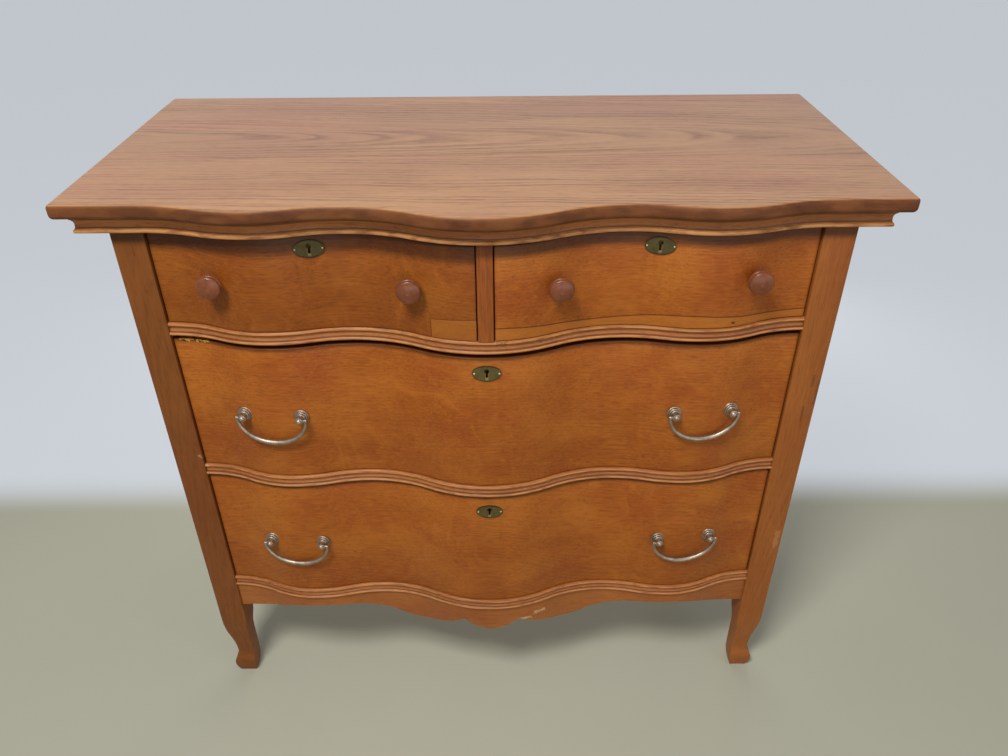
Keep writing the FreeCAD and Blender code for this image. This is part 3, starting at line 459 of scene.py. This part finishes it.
# Heights are from the underside: of a quirk with its core and fade, of a bead with its core, fade and
# share; the quirks take dirt and painted shade, the beads wear and a painted highlight
rails = {
    "lower_rail": {
        "low": 0.229, "shift": (0, 0.01, 0.02), "marks": [],
        "quirks": [(0.006, 0.0001, 0.0007), (0.0135, 0.0001, 0.0007)],
        "beads": [(0.0035, 0.0004, 0.002, 0.65), (0.0165, 0.0004, 0.002, 0.65)]},
    "middle_rail": {
        "low": 0.476, "shift": (1.7, 0.01, 0.02), "marks": [((-0.44, -0.43, 0.488, 0.496), scuff, 0.5)],
        "quirks": [(0.006, 0.0003, 0.0013), (0.0135, 0.0003, 0.0013)],
        "beads": [(0.0035, 0.0004, 0.002, 0.65), (0.0165, 0.0004, 0.002, 0.65)]},
    "upper_rail": {
        "low": 0.725, "shift": (3.4, 0.01, 0.02), "marks": [((0.013, 0.029, 0.737, 0.744), smudge, 0.6)],
        "quirks": [(0.006, 0.0003, 0.0013), (0.0135, 0.0003, 0.0013)],
        "beads": [(0.0035, 0.0004, 0.002, 0.65), (0.0165, 0.0004, 0.002, 0.65)]},
}
# The moulding's wide pale bead is mostly a painted highlight, with some wear
moulding = {
    "low": 0.883, "shift": (5.3, 0.02, 0.01), "marks": [],
    "quirks": [(0.0078, 0.0002, 0.0013), (0.0195, 0.0004, 0.0018)],
    "beads": [(0.0035, 0.002, 0.0042, 0.95)],
}


def makeRailOak(name, rail):
    drawn = drawOak(Graph(name), {**oak, **railLook, "shift": rail["shift"]})
    graph = drawn["graph"]
    level = drawn["z"] - rail["low"]
    worn = graph.noise(drawn["board"], railLook["wornScale"], 3.0)
    least, more = railLook["dirtShares"]
    color = drawn["color"]
    # Quirks darker with dirt and painted shade, beads paler with wear and a painted highlight
    for place, core, fade in rail["quirks"]:
        color = graph.mix(level.near(place, core, fade) * (least + worn * more), color, railLook["dirt"])
    for place, core, fade, share in rail["beads"]:
        bare = level.near(place, core, fade) * worn.rise(*railLook["rubbedFrom"]) * share
        color = graph.mix(bare, color, railLook["rubbed"])
    drawn["color"] = color
    for mark in rail["marks"]:
        addMark(drawn, *mark)
    return closeOak(drawn)


def dressRails():
    for name, rail in rails.items():
        dress([name], makeRailOak(name + "Oak", rail))
    dress(["front_moulding", "left_moulding", "right_moulding"], makeRailOak("mouldingOak", moulding))
    print("top and rails are dressed")


# Drawer fronts, veneered

frontLook = {
    "pale": paint(174, 101, 33),
    "mid": paint(153, 80, 22),
    "rust": paint(147, 70, 23),
    "deep": paint(108, 50, 15),
    "pore": paint(84, 40, 14),
    "ringWidth": 0.005,
    "pithDepth": 0.12,
    "pithTilt": 0.03,
    "wander": 0.03,
    "wanderScale": (5, 6, 6),
    "ringShare": 0.26,
    "feather": 0.65,
    "poreShare": 0.4,
    "fibreShare": 0.3,
    "streakScale": (30, 260, 260),
    "streakShare": 0.26,
    "dashScale": (62, 820, 820),
    "dashShare": 0.5,
    "cloudScale": (9, 12, 12),
    "cloudShare": 0.75,
    "rustShare": 0.7,
    "fleckScale": (55, 26, 60),
    "fleckShare": 0.3,
    "sheen": 0.18,
    "coat": 0.04,
    "flameScale": (30, 1, 11),     # slanting licks of darker and paler veneer
    "flameLean": (0.8, 0.15),
    "swayScale": (5, 5, 5),
    "sway": 0.6,
    "flameDark": (0.5, 0.75),
    "flameDeep": 0.16,
    "flameLight": (0.28, 0.48),
    "flamePale": 0.3,
    # dirt and painted shade along the front's rim
    "edgeDirt": paint(84, 40, 16),
    "edgeShare": 0.45,
    "edgeReach": (0.001, 0.006),
    "edgeScale": (60, 60, 60),
    "edgeWave": 0.004,
    "gap": paint(54, 25, 10),
}


def makeFrontOak(name, front):
    drawn = drawOak(Graph(name), {**oak, **frontLook, "shift": front["shift"], "tone": front["tone"]})
    graph, x, z = drawn["graph"], drawn["x"], drawn["z"]
    sway = (graph.noise(drawn["board"], frontLook["swayScale"], 2.0) - 0.5) * frontLook["sway"]
    aside, down = frontLook["flameLean"]
    lick = graph.join(x + z * aside + sway, 0, z - x * down)
    flame = graph.noise(lick, frontLook["flameScale"], 3.0, 0.6)
    darker = flame.rise(*frontLook["flameDark"]) * frontLook["flameDeep"]
    paler = (1 - flame.rise(*frontLook["flameLight"])) * frontLook["flamePale"]
    color = graph.mix(darker, drawn["color"], frontLook["deep"])
    color = graph.mix(paler, color, frontLook["pale"])
    # Darker near the front's rim: dirt and painted shade in the gaps round the front
    wave = graph.noise(drawn["board"], frontLook["edgeScale"], 3.0) * frontLook["edgeWave"]
    reach = (insideBox(x, z, front["box"]) + wave).rise(*frontLook["edgeReach"])
    dirt = (1 - reach) * frontLook["edgeShare"]
    drawn["color"] = graph.mix(dirt, color, frontLook["edgeDirt"])
    # painted shade band under the moulding or the rail above
    addPaintedShade(drawn, *front["shadeBand"])
    for extra in front["extras"]:
        extra(drawn)
    return closeOak(drawn)


# Let-in repair at the lower right corner, with a fine dark joint round it

patch = {
    "left": -0.0725,
    "top": 0.7733,                 # height of its upper edge at the place "from", from which it slopes
    "from": -0.0717,
    "slope": 0.07,
    "color": paint(184, 114, 44),
    "share": 0.35,
    "fade": 0.0008,
    "joint": (0.0002, 0.001),
    "jointShare": 0.6,
}


def addPatch(drawn):
    graph, x, z = drawn["graph"], drawn["x"], drawn["z"]
    inside = (x - patch["left"]).calc("MINIMUM", patch["top"] + (x - patch["from"]) * patch["slope"] - z)
    joint = inside.near(0.0, *patch["joint"]) * patch["jointShare"]
    color = graph.mix(inside.rise(0.0, patch["fade"]) * patch["share"], drawn["color"], patch["color"])
    drawn["color"] = graph.mix(joint, color, frontLook["gap"])


# Strip of other veneer along the bottom edge, whose joint follows the rail's wave, with a nick above it

strip = {
    "top": 0.7605,
    "wave": 0.0034,                # how far its upper edge swings, from where and how fast
    "waveFrom": 0.0106,
    "waveTurn": 24.2,
    "color": paint(184, 114, 44),
    "share": 0.4,
    "fade": 0.001,
    "joint": (0.0003, 0.0013),
    "jointShare": 0.75,
    "nick": (0.328, 0.334, 0.749, 0.754),
    "nickShare": 0.9,
}


def addStrip(drawn):
    graph, x, z = drawn["graph"], drawn["x"], drawn["z"]
    wave = ((x - strip["waveFrom"]) * strip["waveTurn"]).calc("COSINE") * strip["wave"]
    under = strip["top"] + wave - z
    joint = under.near(0.0, *strip["joint"]) * strip["jointShare"]
    color = graph.mix(under.rise(0.0, strip["fade"]) * strip["share"], drawn["color"], strip["color"])
    drawn["color"] = graph.mix(joint, color, frontLook["gap"])
    addMark(drawn, strip["nick"], frontLook["gap"], strip["nickShare"])


# Veneer broken away along the upper edge, near its left end

chip = {
    "left": -0.43,
    "right": -0.386,
    "fade": 0.004,
    "bottom": 0.7183,              # height of its lower edge, before the tears pull it down
    "tearScale": (150, 1, 150),
    "tearRun": 0.3,
    "tearLevels": (0.35, 0.65),
    "tear": 0.006,
    "lip": 0.0008,
    "color": paint(178, 128, 52),
    "shadowScale": (240, 240, 240),
    "shadowLevels": (0.45, 0.6),
    "share": 0.85,
    "depth": 3,
}


def addChip(drawn):
    graph, x, z = drawn["graph"], drawn["x"], drawn["z"]
    tears = graph.noise(graph.join(x, 0, z * chip["tearRun"]), chip["tearScale"], 4.0, 0.65)
    ragged = tears.rise(*chip["tearLevels"]) * chip["tear"]
    across = (x - chip["left"]).rise(0.0, chip["fade"]) * (1 - (x - chip["right"]).rise(0.0, chip["fade"]))
    lost = (z - chip["bottom"] + ragged).rise(0.0, chip["lip"]) * across
    shadow = graph.noise(drawn["board"], chip["shadowScale"], 2.0).rise(*chip["shadowLevels"])
    bare = graph.mix(shadow, chip["color"], frontLook["gap"])
    drawn["color"] = graph.mix(lost * chip["share"], drawn["color"], bare)
    drawn["height"] = drawn["height"] - lost * chip["depth"]


# Metals, stained in soft patches

metal = {
    "stainScale": (110, 110, 110),
    "stainLevels": (0.42, 0.7),
    "stainRough": (-0.06, 0.16),   # what is added to the roughness everywhere, and by the stain
    "fineScale": (1400, 1400, 1400),
    "relief": 0.00004,
    "reliefShare": 0.4,
}
metalLooks = {
    "agedBrass": {"base": paint(112, 100, 62), "dark": paint(78, 69, 41), "stainShare": 0.5,
                  "metallic": 0.85, "rough": 0.38},
    "lockBrass": {"base": paint(150, 122, 66), "dark": paint(86, 66, 34), "stainShare": 0.8,
                  "metallic": 0.9, "rough": 0.42},
    "boltSteel": {"base": paint(150, 148, 144), "dark": paint(90, 86, 80), "stainShare": 0.8,
                  "metallic": 0.95, "rough": 0.36},
    "pullNickel": {"base": paint(164, 147, 129), "dark": paint(106, 91, 76), "stainShare": 0.55,
                   "metallic": 0.95, "rough": 0.43},
}


def drawMetal(name, kind):
    graph, look = Graph(name), metalLooks[kind]
    stain = graph.noise(graph.place, metal["stainScale"], 4.0, 0.6)
    fine = graph.noise(graph.place, metal["fineScale"], 2.0)
    stained = stain.rise(*metal["stainLevels"]) * look["stainShare"]
    color = graph.mix(stained, look["base"], look["dark"])
    return {"graph": graph, "look": look, "color": color, "stain": stain, "fine": fine}


def closeMetal(drawn):
    graph, look = drawn["graph"], drawn["look"]
    everywhere, byStain = metal["stainRough"]
    return graph.finish({
        "Base Color": drawn["color"], "Metallic": look["metallic"],
        "Roughness": look["rough"] + drawn["stain"] * byStain + everywhere,
        "Normal": graph.bump(drawn["fine"], metal["relief"], metal["reliefShare"])})


def makeMetal(name):
    return closeMetal(drawMetal(name, name))


# Escutcheon plates: dirt round the rim, bright heads of the pins, a rubbed place at the keyhole, and a tone
# that paints shade on the upper plates

plateLook = {
    "squares": (0.00045, 0.000144),     # of half the oval's length and half its height
    "rim": (0.86, 0.99),
    "rimShare": 0.7,
    "dirt": paint(44, 36, 20),
    "pinAt": 0.017,
    "pin": (0.001, 0.0016),
    "pinBrass": paint(222, 198, 150),
    "rubbed": paint(196, 170, 118),
    "rubbedShare": 0.7,
    "rubbedDrop": 0.003,
    "rubbedAcross": (0.0012, 0.0026),
    "rubbedUp": (0.005, 0.0085),
}


def makeEscutcheonBrass(name, middle, height, tone):
    drawn = drawMetal(name, "agedBrass")
    graph = drawn["graph"]
    x, y, z = graph.split(graph.place)
    aside, up = (x - middle).calc("ABSOLUTE"), z - height
    longest, highest = plateLook["squares"]
    oval = (aside * aside / longest + up * up / highest).calc("SQRT")
    toPin = aside - plateLook["pinAt"]
    pin = 1 - (toPin * toPin + up * up).calc("SQRT").rise(*plateLook["pin"])
    rim = oval.rise(*plateLook["rim"]) * plateLook["rimShare"]
    fromHole = (up + plateLook["rubbedDrop"]).calc("ABSOLUTE")
    rubbed = (1 - aside.rise(*plateLook["rubbedAcross"])) * (1 - fromHole.rise(*plateLook["rubbedUp"]))
    color = graph.mix(rim, drawn["color"], plateLook["dirt"])
    color = graph.mix(pin, color, plateLook["pinBrass"])
    color = graph.mix(rubbed * plateLook["rubbedShare"], color, plateLook["rubbed"])
    # The tone darkens the upper plates: painted shade under the moulding
    drawn["color"] = graph.shade(color, tone)
    return closeMetal(drawn)


# A copy of a node with some of its front arrises eased, which stands for the node

easing = {
    "merge": 0.000005,
    "flatten": math.radians(0.3),
    "sharp": 0.9,                  # least turn of an arris that is eased
    "facing": -0.5,                # one of its faces looks forward at least this much
    "segments": 3,
    "crease": math.radians(32),
    "upright": 0.5,                # an edge that runs up more than this is a post's arris
    "onRim": 0.0002,               # an edge this near to a front's rim is on it
}


def easeArrises(name, body, width, wanted):
    mesh = bmesh.new()
    mesh.from_mesh(nodes[name].data)
    bmesh.ops.remove_doubles(mesh, verts=mesh.verts[:], dist=easing["merge"])
    bmesh.ops.dissolve_limit(mesh, angle_limit=easing["flatten"], verts=mesh.verts[:], edges=mesh.edges[:])
    mesh.normal_update()
    sharp = [edge for edge in mesh.edges
             if len(edge.link_faces) == 2 and edge.calc_face_angle() > easing["sharp"]
             and min(face.normal.y for face in edge.link_faces) < easing["facing"] and wanted(edge)]
    bmesh.ops.bevel(mesh, geom=sharp, offset=width, offset_type="OFFSET", affect="EDGES",
                    segments=easing["segments"], profile=0.5, material=-1, clamp_overlap=True)
    mesh.normal_update()
    for face in mesh.faces:
        face.smooth = True
    for edge in mesh.edges:
        edge.smooth = len(edge.link_faces) == 2 and edge.calc_face_angle() < easing["crease"]
    data = bpy.data.meshes.new(name + "Eased")
    mesh.to_mesh(data)
    mesh.free()
    piece = bpy.data.objects.new(name + "Eased", data)
    scene.collection.objects.link(piece)
    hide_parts(name)
    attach(piece, body)
    nodes[name] = piece
    print(name, "eased on", len(sharp), "edges")


# Posts, stile, panels and apron

postLook = {
    "along": "Z",
    "pale": paint(146, 86, 35),
    "mid": paint(130, 73, 28),
    "rust": paint(126, 65, 26),
    "deep": paint(94, 49, 19),
    "ringWidth": 0.003,
    "ringShare": 0.15,
    "pithDepth": 0.27,
    "wander": 0.003,
    "poreShare": 0.7,
    "fibreShare": 0.2,
    "streakScale": (16, 560, 560),
    "streakShare": 0.3,
    "dashScale": (34, 900, 900),
    "dashShare": 0.3,
    "sheen": 0.2,
    "coat": 0.04,
}
# The left posts are painted darker and the right ones lighter by their tone: painted shade and painted
# light
posts = {
    "front_left_post": {"tone": 0.79, "pithSide": -0.42, "shift": (0, 0, 0)},
    "front_right_post": {"tone": 1.19, "pithSide": 0.58, "shift": (2.3, 0, 0)},
    "rear_left_post": {"tone": 0.79, "pithSide": -0.42, "shift": (4.6, 0, 0)},
    "rear_right_post": {"tone": 1.19, "pithSide": 0.58, "shift": (6.9, 0, 0)},
}
postMarks = {
    "front_left_post": [((-0.445, -0.4365, 0.508, 0.517), scuff, 0.3)],
    "front_right_post": [
        ((0.4618, 0.4664, 0.568, 0.598), paint(78, 50, 24), 0.65, 400, 0.004),
        ((0.467, 0.4745, 0.577, 0.592), paint(112, 86, 46), 0.45, 400, 0.006),
        ((0.466, 0.4715, 0.63, 0.652), paint(90, 50, 22), 0.55, 400, 0.005),
        ((0.4745, 0.4805, 0.598, 0.645), paint(84, 66, 38), 0.55, 400, 0.006),
        ((0.466, 0.476, 0.305, 0.347), scuff, 0.16)],
}
stileLook = {
    **postLook,
    "pale": paint(154, 86, 32),
    "mid": paint(136, 71, 25),
    "rust": paint(132, 63, 23),
    "shift": (9.1, 0, 0),
    "pithSide": 0.06,
    "fibreShare": 0.4,
    "dashShare": 0.5,
}
panelLook = {
    **postLook,
    "shift": (4.4, 0, 0),
    "pithSide": 0.0,
    "pithDepth": 0.05,
    "ringWidth": 0.006,
    "ringShare": 0.45,
    "wander": 0.02,
}
apronLook = {"shift": (3.1, 0.1, 0), "ringShare": 0.2}
apronMarks = [((0.046, 0.068, 0.192, 0.2), scuff, 0.6), ((0.07, 0.092, 0.199, 0.208), scuff, 0.6)]
arris = {"post": 0.0012, "front": 0.001}     # widths of the eased arrises


def runsUp(edge):
    return abs((edge.verts[0].co - edge.verts[1].co).normalized().z) > easing["upright"]


def dressPosts():
    for name in ("front_left_post", "front_right_post", "centre_stile"):
        easeArrises(name, "case", arris["post"], runsUp)
    for name, changes in posts.items():
        dress([name], makeMarkedOak(name + "Oak", {**postLook, **changes}, postMarks.get(name, ())))
    dress(["centre_stile"], makeMarkedOak("stileOak", stileLook))
    print("posts and stile are dressed")


def dressPanels():
    dress(["left_side_panel", "right_side_panel"], makeMarkedOak("panelOak", panelLook))
    dress(["left_side_rails", "right_side_rails"], makeMarkedOak("sideRailOak", {"along": "Y"}))
    dress(["apron"], makeMarkedOak("apronOak", apronLook, apronMarks))
    print("panels and apron are dressed")


# Plain wood inside the case and the drawers

innerLook = {
    "pale": paint(178, 144, 99),
    "mid": paint(160, 124, 80),
    "rust": paint(153, 113, 70),
    "deep": paint(128, 93, 57),
    "pore": paint(100, 69, 41),
    "poreShare": 0.3,
    "gloss": 0.6,
    "coat": 0.0,
}


def dressInside():
    backWood = makeMarkedOak("backWood", innerLook)
    dress(["back_boards", "rear_rails", "centre_runner", "kickers", "glue_blocks"], backWood)
    dress(["left_runners", "right_runners"], makeMarkedOak("runnerWood", {**innerLook, "along": "Y"}))
    print("inside is dressed")


# Drawers: each front's box, its plate's middle, height and tone, which paints shade on the upper plates,
# and the painted shade band under the moulding or rail above it

fronts = {
    "upper_left": {
        # The upper left front's lower tone is painted shade
        "box": (-0.4355, -0.012, 0.7453, 0.8808), "tone": 0.76, "plate": (-0.22375, 0.8628, 0.5),
        "shadeBand": (0.867, 0.016, 0.7), "shift": (0.7, 0, 0), "extras": [addPatch]},
    "upper_right": {
        "box": (0.012, 0.4355, 0.7453, 0.8808), "tone": 1.0, "plate": (0.22375, 0.8628, 0.65),
        "shadeBand": (0.872, 0.012, 0.7), "shift": (2.6, 0.31, 0), "extras": [addStrip]},
    "middle": {
        "box": (-0.4355, 0.4355, 0.4963, 0.7185), "tone": 0.97, "plate": (0.0, 0.695, 1.0),
        "shadeBand": (0.7195, 0.007), "shift": (4.5, 0.62, 0), "extras": [addChip]},
    "lower": {
        "box": (-0.4355, 0.4355, 0.2493, 0.4738), "tone": 0.93, "plate": (0.0, 0.4448, 0.95),
        "shadeBand": (0.4748, 0.007), "shift": (6.4, 0.93, 0), "extras": []},
}
knobLook = {
    **oak,
    "along": "Y",
    "pale": paint(128, 72, 40),
    "mid": paint(110, 57, 30),
    "rust": paint(106, 52, 31),
    "deep": paint(76, 36, 20),
    "pore": paint(56, 27, 15),
    "ringWidth": 0.0025,
    "ringShare": 0.25,
    "poreShare": 0.2,
    "cloudScale": (40, 40, 40),
    "gloss": 0.3,
    "coat": 0.12,
    "relief": 0.0001,
}


# Tells whether an edge lies on the rim of a front
def rimOf(box):
    left, right, low, high = box

    def onRim(edge):
        aside = max(min(abs(end.co.x - left), abs(end.co.x - right)) for end in edge.verts)
        upright = max(min(abs(end.co.z - low), abs(end.co.z - high)) for end in edge.verts)
        return min(aside, upright) < easing["onRim"]
    return onRim


def dressDrawers():
    sideWood = makeMarkedOak("drawerSideWood", {**innerLook, "along": "Y"})
    bottomWood = makeMarkedOak("drawerBottomWood", innerLook)
    lockBrass = makeMetal("lockBrass")
    boltSteel = makeMetal("boltSteel")
    pullNickel = makeMetal("pullNickel")
    knobWood = closeOak(drawOak(Graph("knobWood"), knobLook))
    for name, front in fronts.items():
        prefix = name + "_drawer_"
        frontOak = makeFrontOak(name + "FrontOak", front)
        easeArrises(prefix + "front", name + "_drawer", arris["front"], rimOf(front["box"]))
        dress([prefix + "front"], frontOak)
        dress([prefix + "sides"], sideWood)
        dress([prefix + "back", prefix + "bottom"], bottomWood)
        dress([prefix + "lock_case"], lockBrass)
        dress([prefix + "lock_bolt"], boltSteel)
        dress([prefix + "escutcheon"], makeEscutcheonBrass(name + "Brass", *front["plate"]))
        if prefix + "knobs" in nodes:
            dress([prefix + "knobs"], knobWood)
        else:
            dress([prefix + part for part in ("pull_posts", "left_bail", "right_bail")], pullNickel)
    print("drawers are dressed")


# Camera, as the photograph was taken

view = {"place": (0.0191, -1.1684, 1.3033), "tilt": 33.64, "turn": 0.25, "roll": -0.38, "lens": 29.36}


def makeCamera():
    tilt, turn, roll = [math.radians(view[key]) for key in ("tilt", "turn", "roll")]
    forward = Vector((math.sin(turn) * math.cos(tilt), math.cos(turn) * math.cos(tilt), -math.sin(tilt)))
    level = Vector((math.cos(turn), -math.sin(turn), 0))
    upright = level.cross(forward)
    right = level * math.cos(roll) + upright * math.sin(roll)
    up = upright * math.cos(roll) - level * math.sin(roll)
    camera = bpy.data.objects.new("camera", bpy.data.cameras.new("camera"))
    camera.data.lens = view["lens"]
    camera.matrix_world = Matrix((right, up, -forward)).transposed().to_4x4()
    camera.location = view["place"]
    scene.collection.objects.link(camera)
    scene.camera = camera


# Studio: a pale floor that fades into a pale back, soft lamps and a pale surround

studio = {
    "floor": paint(162, 160, 141),
    "back": paint(204, 209, 215),
    "fade": (0.24, 0.4),           # how far behind the middle the floor turns into the back
    "far": (2.2, 4.5),             # and how far off on every side
    "reach": 12.0,
    "floorRough": 0.75,
    "mottleScale": (2.5, 2.5, 2.5),
    "mottle": (0.96, 0.08),        # the floor's lowest tone, and how much it varies
    "glow": 0.8,
    "fill": 0.5,                   # strength of the surround, where neither camera nor reflection sees it
}
lamps = [
    {"name": "key", "at": (-0.75, -1.65, 3.2), "aim": (0, -0.1, 0.7), "size": (0.8, 0.7), "power": 92},
    {"name": "low", "at": (0.5, -3.6, 0.5), "aim": (0, -0.1, 0.3), "size": (3.0, 0.7), "power": 17},
    {"name": "right", "at": (2.6, -2.2, 1.2), "aim": (0, -0.2, 0.35), "size": (1.6, 1.4), "power": 13},
    {"name": "behind", "at": (0.1, 1.4, 0.42), "aim": (0, 0, 0.05), "size": (1.8, 0.3), "power": 15},
]


def makeFloor():
    mesh = bmesh.new()
    bmesh.ops.create_grid(mesh, x_segments=1, y_segments=1, size=studio["reach"])
    data = bpy.data.meshes.new("floor")
    mesh.to_mesh(data)
    mesh.free()
    floor = bpy.data.objects.new("floor", data)
    scene.collection.objects.link(floor)
    graph = Graph("floor")
    x, y, z = graph.split(graph.place)
    away = (x * x + y * y).calc("SQRT").rise(*studio["far"])
    fade = y.rise(*studio["fade"]).calc("MAXIMUM", away)
    mottle = graph.noise(graph.place, studio["mottleScale"], 4.0, 0.55)
    lowest, spread = studio["mottle"]
    color = graph.shade(graph.mix(fade, studio["floor"], studio["back"]), lowest + mottle * spread)
    sockets = {"Base Color": color, "Roughness": studio["floorRough"]}
    ground = graph.add("ShaderNodeBsdfPrincipled", {}, sockets)
    glow = graph.add("ShaderNodeEmission", {}, {"Color": studio["back"]})
    share = fade * graph.seen() * studio["glow"]
    blend = graph.add("ShaderNodeMixShader", {}, {0: share, 1: ground, 2: glow})
    graph.add("ShaderNodeOutputMaterial", {}, {"Surface": blend}, None)
    data.materials.append(graph.material)


def makeLamps():
    for lamp in lamps:
        light = bpy.data.lights.new(lamp["name"], "AREA")
        light.shape = "RECTANGLE"
        light.size, light.size_y = lamp["size"]
        light.energy = lamp["power"]
        holder = bpy.data.objects.new(lamp["name"], light)
        holder.location = lamp["at"]
        holder.rotation_euler = (Vector(lamp["aim"]) - holder.location).to_track_quat("-Z", "Y").to_euler()
        scene.collection.objects.link(holder)


# Pale where the camera or a reflection sees it, and weaker as a light
def makeSurround():
    world = bpy.data.worlds.new("surround")
    world.use_nodes = True
    tree = world.node_tree
    rays = tree.nodes.new("ShaderNodeLightPath")
    seen = tree.nodes.new("ShaderNodeMath")
    seen.operation = "MAXIMUM"
    tree.links.new(rays.outputs["Is Camera Ray"], seen.inputs[0])
    tree.links.new(rays.outputs["Is Glossy Ray"], seen.inputs[1])
    level = tree.nodes.new("ShaderNodeMapRange")
    level.inputs["To Min"].default_value = studio["fill"]
    tree.links.new(seen.outputs[0], level.inputs["Value"])
    background = tree.nodes["Background"]
    background.inputs["Color"].default_value = studio["back"]
    tree.links.new(level.outputs[0], background.inputs["Strength"])
    scene.world = world


makeCamera()
makeFloor()
makeLamps()
makeSurround()
print("camera, floor and lamps are up")
makeTop()
dressRails()
dressPosts()
dressPanels()
dressInside()
dressDrawers()
